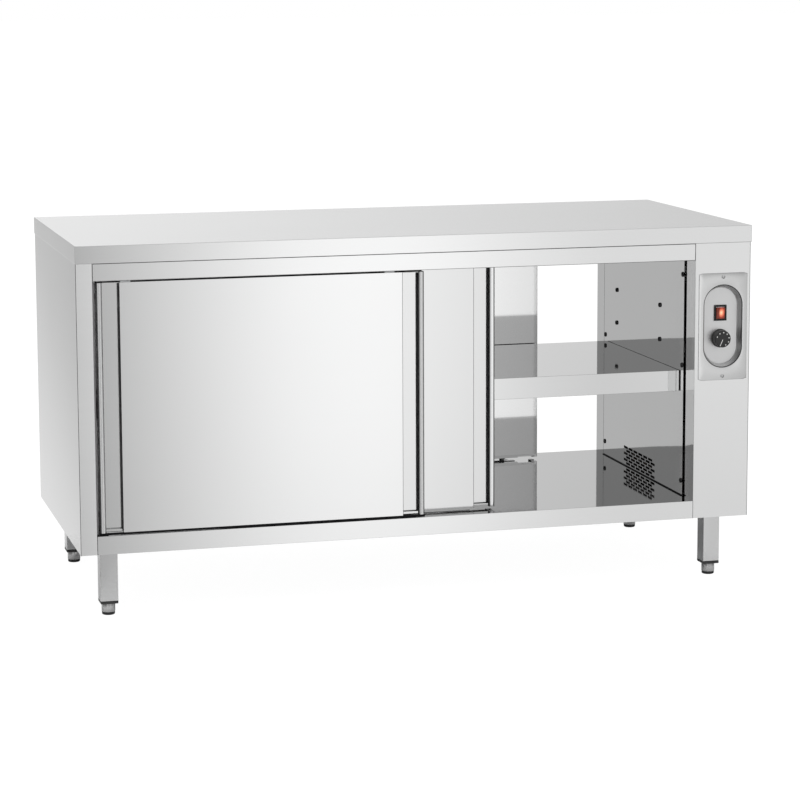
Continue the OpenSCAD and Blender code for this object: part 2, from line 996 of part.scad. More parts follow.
module cable_gland() {
    color("black")
        translate([gland_x, gland_y, leg_top])
            difference() {
                union() {
                    translate([0, 0, -6])
                        cylinder(h = 6, r = 14, $fn = 6);
                    translate([0, 0, -20])
                        cylinder(h = 15, r = 11);
                    translate([0, 0, -1])
                        cylinder(h = gland_len - 20 + 1, r = 10);
                    translate([0, 0, sheet])
                        cylinder(h = 5, r = 14, $fn = 6);
                }
                translate([0, 0, -21])
                    cylinder(h = gland_len + 2, r = gland_bore_r);
            }
}

wire_r = 1.5;
wire_x = [loom_x - 7, loom_x + 7];
wire_z = [switch_z - 6, switch_z + 6];

// Two leads from the switch, back through the column and down to the terminal block
module wiring_loom() {
    color("saddlebrown")
        for (i = [0 : 1]) {
            rod([wire_x[i], dish_floor_y + switch_deep, wire_z[i]],
                [wire_x[i], loom_y + wire_r, wire_z[i]], wire_r);
            rod([wire_x[i], loom_y, wire_z[i] + wire_r],
                [wire_x[i], loom_y, terminal_top], wire_r);
        }
}

// ---------------------------------------------------------------- legs and feet

module leg() {
    difference() {
        union() {
            block([-leg_w / 2, -leg_w / 2, leg_z0], [leg_w / 2, leg_w / 2, leg_top - leg_plate_t]);
            block([-leg_plate_w / 2, -leg_plate_w / 2, leg_top - leg_plate_t],
                  [leg_plate_w / 2, leg_plate_w / 2, leg_top]);
        }
        block([-leg_w / 2 + 1.5, -leg_w / 2 + 1.5, leg_z0 - 1],
              [leg_w / 2 - 1.5, leg_w / 2 - 1.5, leg_top - leg_plate_t]);
    }
}

module front_legs() {
    color("silver")
        for (s = [-1, 1])
            translate([s * leg_x, -leg_y, 0])
                leg();
}

module rear_legs() {
    color("silver")
        for (s = [-1, 1])
            translate([s * leg_x, leg_y, 0])
                leg();
}

module leg_inserts() {
    fit = leg_w / 2 - 1.6;
    color("black")
        for (sx = [-1, 1], sy = [-1, 1])
            translate([sx * leg_x, sy * leg_y, 0])
                difference() {
                    union() {
                        block([-leg_w / 2, -leg_w / 2, leg_z0 - insert_t],
                              [leg_w / 2, leg_w / 2, leg_z0]);
                        block([-fit, -fit, leg_z0], [fit, fit, leg_z0 + insert_deep]);
                    }
                    translate([0, 0, leg_z0 - insert_t - 1])
                        cylinder(h = insert_t + insert_deep + 2, r = stem_r + running_gap);
                }
}

module foot() {
    top = leg_z0 - insert_t - 0.3;
    color("silver") {
        rotate_extrude()
            polygon([
                [0, 0],
                [foot_d / 2 - 1.5, 0],
                [foot_d / 2, 1.5],
                [foot_d / 2, top - 0.8],
                [foot_d / 2 - 0.8, top],
                [stem_r, top],
                [stem_r, stem_top - 1],
                [stem_r - 1, stem_top],
                [0, stem_top]
            ]);
    }
}

module foot_at(sx, sy) {
    translate([sx * leg_x, sy * leg_y, 0])
        foot();
}

// ---------------------------------------------------------------- nodes

door_color = "lightgray";
hanger_color = "gray";
roller_color = "whitesmoke";

module front_left_door_skin() { color(door_color) at_front_left() door_skin(); }
module front_right_door_skin() { color(door_color) at_front_right() door_skin(); }
module rear_left_door_skin() { color(door_color) at_rear_left() door_skin(); }
module rear_right_door_skin() { color(door_color) at_rear_right() door_skin(); }

module front_left_door_back() { color(door_color) at_front_left() door_back(); }
module front_right_door_back() { color(door_color) at_front_right() door_back(); }
module rear_left_door_back() { color(door_color) at_rear_left() door_back(); }
module rear_right_door_back() { color(door_color) at_rear_right() door_back(); }

module front_left_door_hangers() { color(hanger_color) at_front_left() hangers(); }
module front_right_door_hangers() { color(hanger_color) at_front_right() hangers(); }
module rear_left_door_hangers() { color(hanger_color) at_rear_left() hangers(); }
module rear_right_door_hangers() { color(hanger_color) at_rear_right() hangers(); }

roller_a = hanger_left;
roller_b = door_w - hanger_right;

module front_left_door_roller_a() { color(roller_color) at_front_left() roller(roller_a); }
module front_left_door_roller_b() { color(roller_color) at_front_left() roller(roller_b); }
module front_right_door_roller_a() { color(roller_color) at_front_right() roller(roller_a); }
module front_right_door_roller_b() { color(roller_color) at_front_right() roller(roller_b); }
module rear_left_door_roller_a() { color(roller_color) at_rear_left() roller(roller_a); }
module rear_left_door_roller_b() { color(roller_color) at_rear_left() roller(roller_b); }
module rear_right_door_roller_a() { color(roller_color) at_rear_right() roller(roller_a); }
module rear_right_door_roller_b() { color(roller_color) at_rear_right() roller(roller_b); }

module front_left_foot() { foot_at(-1, -1); }
module front_right_foot() { foot_at(1, -1); }
module rear_left_foot() { foot_at(-1, 1); }
module rear_right_foot() { foot_at(1, 1); }

worktop_skin();
worktop_core_board();
left_side_panel();
left_liner();
right_side_panel();
right_liner();
floor_pan();
underside_cover();
insulation_slabs();
ceiling_panel();
front_top_rail();
rear_top_rail();
column_front_cover();
column_rear_cover();
front_top_track();
rear_top_track();
control_dish();
dish_screws();
switch_housing();
switch_rocker();
thermostat_body();
thermostat_knob();
fan_motor();
fan_impeller();
heating_element();
air_duct();
terminal_block();
cable_gland();
wiring_loom();
shelf();
shelf_supports();
door_guides();
door_bumpers();
front_left_door_skin();
front_right_door_skin();
rear_left_door_skin();
rear_right_door_skin();
front_left_door_back();
front_right_door_back();
rear_left_door_back();
rear_right_door_back();
front_left_door_hangers();
front_right_door_hangers();
rear_left_door_hangers();
rear_right_door_hangers();
front_left_door_roller_a();
front_left_door_roller_b();
front_right_door_roller_a();
front_right_door_roller_b();
rear_left_door_roller_a();
rear_left_door_roller_b();
rear_right_door_roller_a();
rear_right_door_roller_b();
front_legs();
rear_legs();
leg_inserts();
front_left_foot();
front_right_foot();
rear_left_foot();
rear_right_foot();
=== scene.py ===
"""Plate warmer cabinet: the looks of its sheet metal, controls and feet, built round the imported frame."""

import json
import math

import bmesh
import bpy
from bpy.props import FloatProperty, FloatVectorProperty, IntProperty, PointerProperty
from mathutils import Matrix, Vector


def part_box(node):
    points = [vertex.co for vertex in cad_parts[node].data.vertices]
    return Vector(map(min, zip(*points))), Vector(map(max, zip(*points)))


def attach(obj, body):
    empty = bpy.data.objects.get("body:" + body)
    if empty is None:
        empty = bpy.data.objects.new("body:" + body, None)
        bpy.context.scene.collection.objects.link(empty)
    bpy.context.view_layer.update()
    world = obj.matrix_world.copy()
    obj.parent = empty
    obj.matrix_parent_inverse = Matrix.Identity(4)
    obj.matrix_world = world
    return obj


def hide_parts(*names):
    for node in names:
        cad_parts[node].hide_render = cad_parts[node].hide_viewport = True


bl_info = {
    "name": "Plate Warmer Cabinet",
    "version": (1, 0, 0),
    "blender": (4, 5, 0),
    "location": "View3D > Sidebar > Cabinet",
    "description": "Builds a stainless plate warmer cabinet with sliding doors round its packed frame",
    "category": "Add Mesh",
}

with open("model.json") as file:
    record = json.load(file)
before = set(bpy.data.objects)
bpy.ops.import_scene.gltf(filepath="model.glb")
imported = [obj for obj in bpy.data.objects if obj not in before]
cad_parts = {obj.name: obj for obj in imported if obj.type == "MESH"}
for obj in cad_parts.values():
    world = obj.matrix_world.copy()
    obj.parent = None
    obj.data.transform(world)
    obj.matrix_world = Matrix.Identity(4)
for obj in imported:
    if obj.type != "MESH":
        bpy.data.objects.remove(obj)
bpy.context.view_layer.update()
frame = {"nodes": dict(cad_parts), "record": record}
NODES = frame["nodes"]
BODY_OF = {n: b for b, members in frame["record"]["behaviour"]["bodies"].items() for n in members}
SLOT_OF = {p["node"]: p["material_slot"] for p in frame["record"]["subparts"]}
DOORS = ("front_left", "front_right", "rear_left", "rear_right")
OUTER_DOORS = ("front_left", "rear_right")
# distances from a door's end
NOSE_WIDTH = 0.0145
CHANNEL_START = 0.0142
CHANNEL_END = 0.0518
PANEL_START = 0.0522
# the places of a door's finishes in its list
SKIN, CHANNEL, PAINTED_SHADE, NOSE, END_SIDE = range(5)
# a face looks squarely along an axis when its normal has this much of it
SQUARE = 0.9
# height of the floor pan's upper face
FLOOR_TOP = 0.195
# roughness, smear, grain and bump of bright sheet
BRIGHT = (0.045, 0.02, 0.02, 0.03)
FINISH = {}


# ---------------------------------------------------------------- settings


def length_setting(name, description, default, low, high):
    """A setting in metres, from low to high."""
    return FloatProperty(name=name, description=description, default=default, min=low, max=high,
                         subtype="DISTANCE", unit="LENGTH")


def angle_setting(name, description, default):
    return FloatProperty(name=name, description=description, default=default,
                         subtype="ANGLE", unit="ROTATION")


def place_setting(name, description, default):
    return FloatVectorProperty(name=name, description=description, default=default, size=3,
                               subtype="XYZ", unit="LENGTH")


def colour_setting(name, description, default):
    return FloatVectorProperty(name=name, description=description, default=default, size=3, min=0, max=1,
                               subtype="COLOR")


class SheetSettings(bpy.types.PropertyGroup):
    fold_radius: length_setting("Fold radius", "Outer radius of the sheet's folds", 0.0016, 0.0005, 0.003)
    worktop_radius: length_setting(
        "Worktop radius", "Outer radius of the worktop's edges", 0.0012, 0.0005, 0.004)
    leg_radius: length_setting("Leg radius", "Corner radius of the square leg tube", 0.003, 0.001, 0.006)
    steel: colour_setting("Steel", "Colour of the stainless sheet", (0.74, 0.742, 0.742))


class ControlSettings(bpy.types.PropertyGroup):
    centre: place_setting(
        "Centre", "Middle of the control recess's rim on the column", (0.731, -0.345, 0.612))
    rim_radius: length_setting("Rim radius", "Rounding from the plate into the recess", 0.0022, 0.001, 0.008)
    dot_count: IntProperty(
        name="Dots", description="Number of marks on the knob's face", default=7, min=0, max=12)
    dot_ring: length_setting("Dot ring", "Distance of the marks from the knob's axis", 0.0155, 0.008, 0.018)
    lamp: colour_setting("Lamp", "Colour of the lit rocker", (0.22, 0.03, 0.012))


class StageSettings(bpy.types.PropertyGroup):
    eye: place_setting("Eye", "Where the camera stands", (-1.60754, -6.08552, 1.47064))
    heading: angle_setting("Heading", "Camera's turn to the right from the far direction", 0.26359)
    dip: angle_setting("Dip", "How far the camera looks down", 0.135945)
    roll: angle_setting("Roll", "Camera's turn about its own axis", -0.003755)
    focal_px: FloatProperty(
        name="Focal length", description="Focal length in widths of one pixel of an 800 pixel frame",
        default=2629.44, min=500, max=6000)
    floor_grey: FloatProperty(
        name="Floor", description="How pale the floor is", default=0.86, min=0, max=1, subtype="FACTOR")


# ---------------------------------------------------------------- shader recipes


class Wire:
    """One socket of a shader tree, so that shader maths can be written as an expression."""

    def __init__(self, recipe, socket):
        self.recipe, self.socket = recipe, socket

    def _math(self, operation, a, b=0.0):
        return self.recipe.node("Math", {"operation": operation}, {0: a, 1: b})

    def __add__(self, other):
        return self._math("ADD", self, other)

    def __sub__(self, other):
        return self._math("SUBTRACT", self, other)

    def __rsub__(self, other):
        return self._math("SUBTRACT", other, self)

    def __mul__(self, other):
        return self._math("MULTIPLY", self, other)

    def __truediv__(self, other):
        return self._math("DIVIDE", self, other)

    def __abs__(self):
        return self._math("ABSOLUTE", self)

    __radd__ = __add__
    __rmul__ = __mul__


class Recipe:
    """A material or the world, with its node tree."""

    def __init__(self, owner):
        owner.use_nodes = True
        self.tree = owner.node_tree
        self.tree.nodes.clear()

    def node(self, kind, settings=None, inputs=None, output=0):
        """Adds a shader node, sets it up first, feeds its sockets, and gives back one output."""
        made = self.tree.nodes.new(f"ShaderNode{kind}")
        for key, value in (settings or {}).items():
            if key == "stops":
                ramp = made.color_ramp
                while len(ramp.elements) < len(value):
                    ramp.elements.new(0.5)
                for element, (place, tone) in zip(ramp.elements, value):
                    element.position = place
                    element.color = (*tone, 1) if hasattr(tone, "__len__") else (tone, tone, tone, 1)
            elif key == "ease":
                made.color_ramp.interpolation = value
            else:
                setattr(made, key, value)
        for key, value in (inputs or {}).items():
            socket = made.inputs[key]
            if isinstance(value, Wire):
                self.tree.links.new(value.socket, socket)
            elif socket.type == "RGBA" and len(value) == 3:
                socket.default_value = (*value, 1)
            else:
                socket.default_value = value
        return Wire(self, made.outputs[output])

    def place(self):
        return self.node("TexCoord", output="Object")

    def ray(self, kind):
        """1 for the rays of one kind, such as Camera or Glossy, and 0 for all others."""
        return self.node("LightPath", output=f"Is {kind} Ray")

    def axes(self, vector):
        split = self.node("SeparateXYZ", inputs={0: vector})
        return [Wire(self, split.socket.node.outputs[i]) for i in range(3)]

    def noise(self, vector, scale, detail=2.0, rough=0.5, stretch=(1, 1, 1)):
        """Soft noise from 0 to 1; stretch scales the pattern along each axis first."""
        moved = self.node("Mapping", {"vector_type": "POINT"},
                          {"Vector": vector, "Scale": stretch})
        return self.node("TexNoise", {}, {
            "Vector": moved, "Scale": scale, "Detail": detail, "Roughness": rough})

    def ramp(self, value, stops, ease="LINEAR"):
        return self.node("ValToRGB", {"stops": stops, "ease": ease}, {"Fac": value})

    def mix(self, factor, a, b):
        """Mixes two colours."""
        return self.node("Mix", {"data_type": "RGBA"}, {0: factor, 6: a, 7: b}, 2)

    def multiply(self, a, b):
        """Multiplies two colours."""
        return self.node("Mix", {"data_type": "RGBA", "blend_type": "MULTIPLY"},
                         {0: 1.0, 6: a, 7: b}, 2)

    def larger(self, a, b):
        return self.node("Math", {"operation": "MAXIMUM"}, {0: a, 1: b})

    def bump(self, height, strength, distance):
        return self.node("Bump", {}, {
            "Height": height, "Strength": strength, "Distance": distance})

    def surface(self, shader, kind="OutputMaterial"):
        out = self.tree.nodes.new(f"ShaderNode{kind}")
        self.tree.links.new(shader.socket, out.inputs["Surface"])


def finish(name, build):
    """A named material whose Principled sockets are what build(recipe) returns."""
    material = bpy.data.materials.new(name)
    recipe = Recipe(material)
    recipe.surface(recipe.node("BsdfPrincipled", {}, build(recipe)))
    return material


def rolled_grain(recipe, lines_per_metre=700):
    """Rolling lines: level on upright sheets, along the cabinet on flat ones."""
    place = recipe.place()
    facing = recipe.node("NewGeometry", output="Normal")
    flat = abs(recipe.axes(facing)[2])
    upright_lines = recipe.noise(place, lines_per_metre, 3, 0.6, (0.006, 0.006, 1))
    flat_lines = recipe.noise(place, lines_per_metre, 3, 0.6, (0.006, 1, 0.006))
    return flat * flat_lines + (1 - flat) * upright_lines, place


def satin_steel(colour, rough, smear=0.04, grain=0.04, bump=0.06, tone=None, bow=None, metallic=1.0):
    """Stainless sheet: fine rolling lines, faint wipe marks and a barely wavy surface.

    tone(recipe, place) multiplies its colour. bow(recipe, place) is how far the sheet bows out, in metres.
    """

    def build(recipe):
        lines, place = rolled_grain(recipe)
        wipes = recipe.noise(place, 3.1, 4, 0.55)
        waves = recipe.noise(place, 2.3, 1, 0.4)
        dark = [c * 0.96 for c in colour]
        light = [min(1, c * 1.03) for c in colour]
        height = lines * 0.3 + waves * 1.5
        sheet = recipe.mix(lines * 0.5 + wipes * 0.5, dark, light)
        if tone:
            sheet = recipe.multiply(sheet, tone(recipe, place))
        normal = recipe.bump(height, bump, 0.0004)
        if bow:
            normal = recipe.node("Bump", {}, {
                "Height": bow(recipe, place), "Strength": 1.0, "Distance": 1.0, "Normal": normal})
        return {
            "Base Color": sheet,
            "Metallic": metallic,
            "Roughness": rough + grain * (lines - 0.5) + smear * (wipes - 0.5),
            "Normal": normal,
        }

    return build


def painted_plate_shade(recipe, place):
    """Painted shade: the control plate darkens a little towards its outer side."""
    plate_left, plate_width = 0.67, 0.122
    across = recipe.axes(place)[0]
    return recipe.ramp((across - plate_left) / plate_width, [(0.0, 0.98), (0.5, 0.92), (1.0, 0.82)])


def front_bow(recipe, place):
    """The sheet of the right-hand wall bows out towards its front fold."""
    bow_start, bend = -0.1, 0.085
    reach = recipe.larger(bow_start - recipe.axes(place)[1], 0.0)
    return bend * reach * reach


def moulded(colour, rough, texture=0.15, scale=900, shine=0.5):
    """Injection-moulded plastic or rubber with a fine eroded texture."""

    def build(recipe):
        place = recipe.place()
        fine = recipe.noise(place, scale, 3, 0.6)
        broad = recipe.noise(place, 40, 2, 0.5)
        dull = [c * 0.85 for c in colour]
        return {
            "Base Color": recipe.mix(broad, dull, colour),
            "Specular IOR Level": shine,
            "Roughness": rough + 0.12 * (fine - 0.5) + 0.08 * (broad - 0.5),
            "Normal": recipe.bump(fine, texture, 0.0003),
        }

    return build


def plated(colour, rough):
    """Bright zinc plate with its faint flakes."""

    def build(recipe):
        place = recipe.place()
        flakes = recipe.node("TexVoronoi", {}, {"Vector": place, "Scale": 160.0}, "Color")
        tone = recipe.axes(flakes)[0]
        cloud = recipe.noise(place, 25, 3, 0.6)
        return {
            "Base Color": recipe.mix(tone, [c * 0.85 for c in colour], colour),
            "Metallic": 1.0,
            "Roughness": rough + 0.1 * (tone - 0.5) + 0.1 * (cloud - 0.5),
            "Normal": recipe.bump(cloud, 0.1, 0.0003),
        }

    return build


def chipboard(recipe):
    place = recipe.place()
    chips = recipe.node("TexVoronoi", {}, {"Vector": place, "Scale": 220.0}, "Color")
    tone = recipe.axes(chips)[0]
    return {
        "Base Color": recipe.ramp(tone, [
            (0, (0.3, 0.19, 0.09)), (0.6, (0.5, 0.35, 0.18)), (1, (0.66, 0.5, 0.3))]),
        "Roughness": 0.75 + 0.1 * tone,
        "Normal": recipe.bump(tone, 0.4, 0.0006),
    }


def mineral_wool(recipe):
    place = recipe.place()
    fibres = recipe.noise(place, 300, 5, 0.7, (0.2, 1, 1))
    return {
        "Base Color": recipe.ramp(fibres, [(0.2, (0.42, 0.34, 0.08)), (0.8, (0.72, 0.62, 0.25))]),
        "Roughness": 0.9 + 0.05 * fibres,
        "Normal": recipe.bump(fibres, 0.8, 0.002),
    }


def lit_rocker(lamp_x, lamp_z, colour):
    """Clear red plastic over a small neon lamp: hottest over the lamp, deep red at its ends, with painted
    shade darkening its left part.
    """
    narrow, short = 92, 66

    def build(recipe):
        place = recipe.place()
        glow = recipe.node("Mapping", {"vector_type": "POINT"}, {
            "Vector": place, "Location": (-lamp_x * narrow, 0, -lamp_z * short), "Scale": (narrow, 0, short)})
        reach = recipe.node("VectorMath", {"operation": "LENGTH"}, {0: glow}, "Value")
        ribs = recipe.noise(place, 500, 2, 0.5, (1, 0.1, 1))
        shade = recipe.ramp(reach, [
            (0.0, (1.0, 0.75, 0.5)), (0.24, (0.95, 0.48, 0.28)), (0.5, (0.66, 0.17, 0.09)),
            (0.8, (0.2, 0.02, 0.012)), (1.0, (0.05, 0.008, 0.005))], "EASE")
        across = recipe.axes(place)[0]
        # painted shade: the glow fades to dark over the rocker's left part
        painted_frame_shade = recipe.ramp((across - lamp_x) * 50 + 0.5, [(0.16, 0.08), (0.34, 1.0)])
        return {
            "Base Color": recipe.mix(ribs, [c * 0.6 for c in colour], colour),
            "Emission Color": recipe.multiply(shade, painted_frame_shade),
            "Emission Strength": 1.0,
            "Roughness": 0.2 + 0.08 * ribs,
            "Normal": recipe.bump(ribs, 0.1, 0.0002),
        }

    return build


# ---------------------------------------------------------------- mesh helpers


def linked(name, data):
    """A new object in the scene."""
    made = bpy.data.objects.new(name, data)
    bpy.context.scene.collection.objects.link(made)
    return made


def adopt(name, mesh, body, finishes, slot, *stands_for):
    """Links a mesh as a piece of the cabinet; finishes names one finish, or more with spaces between."""
    piece = linked(name, mesh)
    piece.data.materials.clear()
    for one in finishes.split():
        piece.data.materials.append(FINISH[one])
    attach(piece, body)
    if stands_for:
        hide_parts(*stands_for)
    return piece


def mesh_from(bm, name, smooth_angle=35):
    """Writes a bmesh to a mesh that is smooth up to an angle."""
    mesh = bpy.data.meshes.new(name)
    bm.to_mesh(mesh)
    bm.free()
    for face in mesh.polygons:
        face.use_smooth = True
    mesh.set_sharp_from_angle(angle=math.radians(smooth_angle))
    return mesh


def applied(mesh, kind, set_up):
    """Runs one modifier on a mesh and gives back the result as a plain mesh."""
    carrier = linked("carrier", mesh)
    set_up(carrier.modifiers.new(kind.lower(), kind))
    bpy.context.view_layer.update()
    evaluated = carrier.evaluated_get(bpy.context.evaluated_depsgraph_get())
    result = bpy.data.meshes.new_from_object(evaluated)
    carrier.modifiers.clear()
    bpy.data.objects.remove(carrier)
    return result


def flat_faced(mesh):
    """Bends the shading normals to the large faces, so that flat sheet reflects flat."""

    def set_up(modifier):
        modifier.mode, modifier.weight, modifier.keep_sharp = "FACE_AREA", 90, True

    return applied(mesh, "WEIGHTED_NORMAL", set_up)


def face_width(face, edge):
    return face.calc_area() / max(edge.calc_length(), 1e-9)


def eased_copy(node, radius, segments=3, narrow=0.003):
    """A CAD node's mesh with its outer folds rounded; edges of the sheet's own thickness stay."""
    bm = bmesh.new()
    bm.from_mesh(NODES[node].data)
    bmesh.ops.remove_doubles(bm, verts=bm.verts, dist=1e-6)
    bmesh.ops.dissolve_limit(bm, angle_limit=0.005, verts=bm.verts, edges=bm.edges)
    folds = [
        e for e in bm.edges
        if e.is_manifold and e.calc_length() > 0.012
        and math.radians(80) < e.calc_face_angle_signed(0) < math.radians(100)
        and min(face_width(f, e) for f in e.link_faces) > narrow
    ]
    bmesh.ops.bevel(bm, geom=folds, offset=radius, offset_type="OFFSET", segments=segments,
                    profile=0.5, affect="EDGES", clamp_overlap=True)
    bmesh.ops.triangulate(bm, faces=[f for f in bm.faces if len(f.verts) > 4])
    return flat_faced(mesh_from(bm, node))


def ease_node(node, radius, finishes, name, pick=None):
    """Adopts a node's eased mesh; pick(face) gives the place of a face's finish in the names."""
    piece = adopt(name, eased_copy(node, radius), BODY_OF[node], finishes, SLOT_OF[node], node)
    if pick:
        for face in piece.data.polygons:
            face.material_index = pick(face)


def lathe(bm, profile, centre, axis, steps=64):
    """Turns (radius, distance along axis) pairs about an axis through centre."""
    axis = Vector(axis).normalized()
    side = axis.orthogonal().normalized()
    other = axis.cross(side)
    rings = []
    for radius, along in profile:
        spot = Vector(centre) + axis * along
        if radius < 1e-9:
            rings.append([bm.verts.new(spot)])
        else:
            rings.append([
                bm.verts.new(spot + radius * (math.cos(2 * math.pi * i / steps) * side
                                              + math.sin(2 * math.pi * i / steps) * other))
                for i in range(steps)])
    for low, high in zip(rings, rings[1:]):
        for i in range(steps):
            j = (i + 1) % steps
            corners = [low[i % len(low)], low[j % len(low)], high[j % len(high)], high[i % len(high)]]
            unique = list(dict.fromkeys(corners))
            if len(unique) > 2:
                bm.faces.new(unique)


def stadium(width, height, steps=24):
    """Points of an upright oval with straight sides, anticlockwise from the lower right."""
    r = width / 2
    straight = (height - width) / 2
    points = []
    for centre_z, start in ((straight, 0), (-straight, math.pi)):
        for i in range(steps + 1):
            a = start + math.pi * i / steps
            points.append((r * math.cos(a), centre_z + r * math.sin(a)))
    return points


def stitched(bm, rings):
    """Joins rings of equal length into walls and closes the last ring."""
    made = [[bm.verts.new(p) for p in ring] for ring in rings]
    count = len(made[0])
    for low, high in zip(made, made[1:]):
        for i in range(count):
            j = (i + 1) % count
            bm.faces.new((low[i], low[j], high[j], high[i]))
    bm.faces.new(made[-1])


def slab(bm, low, high):
    """A box between two corners."""
    for v in bmesh.ops.create_cube(bm, size=1.0)["verts"]:
        v.co = Vector([(a + b) / 2 + c * (b - a) for a, b, c in zip(low, high, v.co)])


def outward(bm):
    bmesh.ops.remove_doubles(bm, verts=bm.verts, dist=1e-7)
    bmesh.ops.recalc_face_normals(bm, faces=bm.faces)


def boxes(name, body, finishes, slot, corners):
    """Adopts one piece made of boxes, each given by its two corners."""
    bm = bmesh.new()
    for low, high in corners:
        slab(bm, low, high)
    outward(bm)
    adopt(name, mesh_from(bm, name), body, finishes, slot)


def joined(meshes, name):
    bm = bmesh.new()
    for mesh in meshes:
        bm.from_mesh(mesh)
    return mesh_from(bm, name)


# ---------------------------------------------------------------- geometry node trees


def tree_with(name, **sockets):
    """A geometry tree with inputs of the given kinds, and the node that holds them."""
    tree = bpy.data.node_groups.new(name, "GeometryNodeTree")
    tree.interface.new_socket("Geometry", in_out="INPUT", socket_type="NodeSocketGeometry")
    for socket, kind in sockets.items():
        tree.interface.new_socket(socket, in_out="INPUT", socket_type=f"NodeSocket{kind}")
    tree.interface.new_socket("Geometry", in_out="OUTPUT", socket_type="NodeSocketGeometry")
    return tree, tree.nodes.new("NodeGroupInput")


def link_nodes(tree, kind, inputs, **settings):
    """One geometry node; an input that is a (node, output) pair becomes a link."""
    made = tree.nodes.new(kind)
    for key, value in settings.items():
        setattr(made, key, value)
    for key, value in inputs.items():
        if isinstance(value, tuple) and len(value) == 2 and hasattr(value[0], "outputs"):
            tree.links.new(value[0].outputs[value[1]], made.inputs[key])
        else:
            made.inputs[key].default_value = value
    return made


def realized(tree, start, placed):
    """Makes real meshes of placed instances, gives them the tree's finish and sends them out."""
    real = link_nodes(tree, "GeometryNodeRealizeInstances", {0: (placed, 0)})
    done = link_nodes(tree, "GeometryNodeSetMaterial", {"Geometry": (real, 0), "Material": (start, "Finish")})
    end = tree.nodes.new("NodeGroupOutput")
    tree.links.new(done.outputs[0], end.inputs[0])
    return tree


def studs_tree():
    """Puts one master shape, turned, on every point of the modified mesh."""
    tree, start = tree_with("Studs on points", Master="Object", Turn="Vector", Finish="Material")
    master = link_nodes(tree, "GeometryNodeObjectInfo", {"Object": (start, "Master")})
    points = link_nodes(tree, "GeometryNodeMeshToPoints", {"Mesh": (start, "Geometry")})
    placed = link_nodes(tree, "GeometryNodeInstanceOnPoints", {
        "Points": (points, 0), "Instance": (master, "Geometry"), "Rotation": (start, "Turn")})
    return realized(tree, start, placed)


def dial_tree():
    """A ring of flat round marks at even steps of angle."""
    tree, start = tree_with("Dial marks", Count="Int", Ring="Float", From="Float", Step="Float",
                            Mark="Float", Height="Float", Finish="Material")

    def maths(operation, *values):
        return link_nodes(tree, "ShaderNodeMath", dict(enumerate(values)), operation=operation), 0

    index = tree.nodes.new("GeometryNodeInputIndex")
    turn = maths("ADD", maths("MULTIPLY", (index, 0), (start, "Step")), (start, "From"))
    across = maths("MULTIPLY", maths("SINE", turn), (start, "Ring"))
    upward = maths("MULTIPLY", maths("COSINE", turn), (start, "Ring"))
    place = link_nodes(tree, "ShaderNodeCombineXYZ", {0: across, 2: upward})
    points = link_nodes(tree, "GeometryNodePoints", {"Count": (start, "Count"), "Position": (place, 0)})
    mark = link_nodes(tree, "GeometryNodeMeshCylinder", {
        "Vertices": 24, "Radius": (start, "Mark"), "Depth": (start, "Height")})
    placed = link_nodes(tree, "GeometryNodeInstanceOnPoints", {
        "Points": (points, 0), "Instance": (mark, 0), "Rotation": (math.pi / 2, 0.0, 0.0)})
    return realized(tree, start, placed)


def grown(tree, base_mesh, inputs):
    """Runs a geometry tree on a mesh and gives back the result as a plain mesh."""

    def set_up(modifier):
        modifier.node_group = tree
        for item in tree.interface.items_tree:
            if item.in_out == "INPUT" and item.name in inputs:
                modifier[item.identifier] = inputs[item.name]

    return applied(base_mesh, "NODES", set_up)


def point_mesh(points):
    mesh = bpy.data.meshes.new("points")
    mesh.from_pydata([tuple(p) for p in points], [], [])
    return mesh


def studs(points, profile, axis_turn, finish_name, steps):
    """Turned studs of one profile on a list of points, all turned the same way."""
    bm = bmesh.new()
    lathe(bm, profile, (0, 0, 0), (0, 0, 1), steps)
    return repeated(points, bm, axis_turn, finish_name)


def repeated(points, bm, axis_turn, finish_name):
    """One shape on every point of a list, all turned the same way."""
    outward(bm)
    master = linked("master", mesh_from(bm, "master"))
    mesh = grown(bpy.data.node_groups.get("Studs on points") or studs_tree(), point_mesh(points),
                 {"Master": master, "Turn": axis_turn, "Finish": FINISH[finish_name]})
    bpy.data.objects.remove(master)
    return mesh


# ---------------------------------------------------------------- finishes


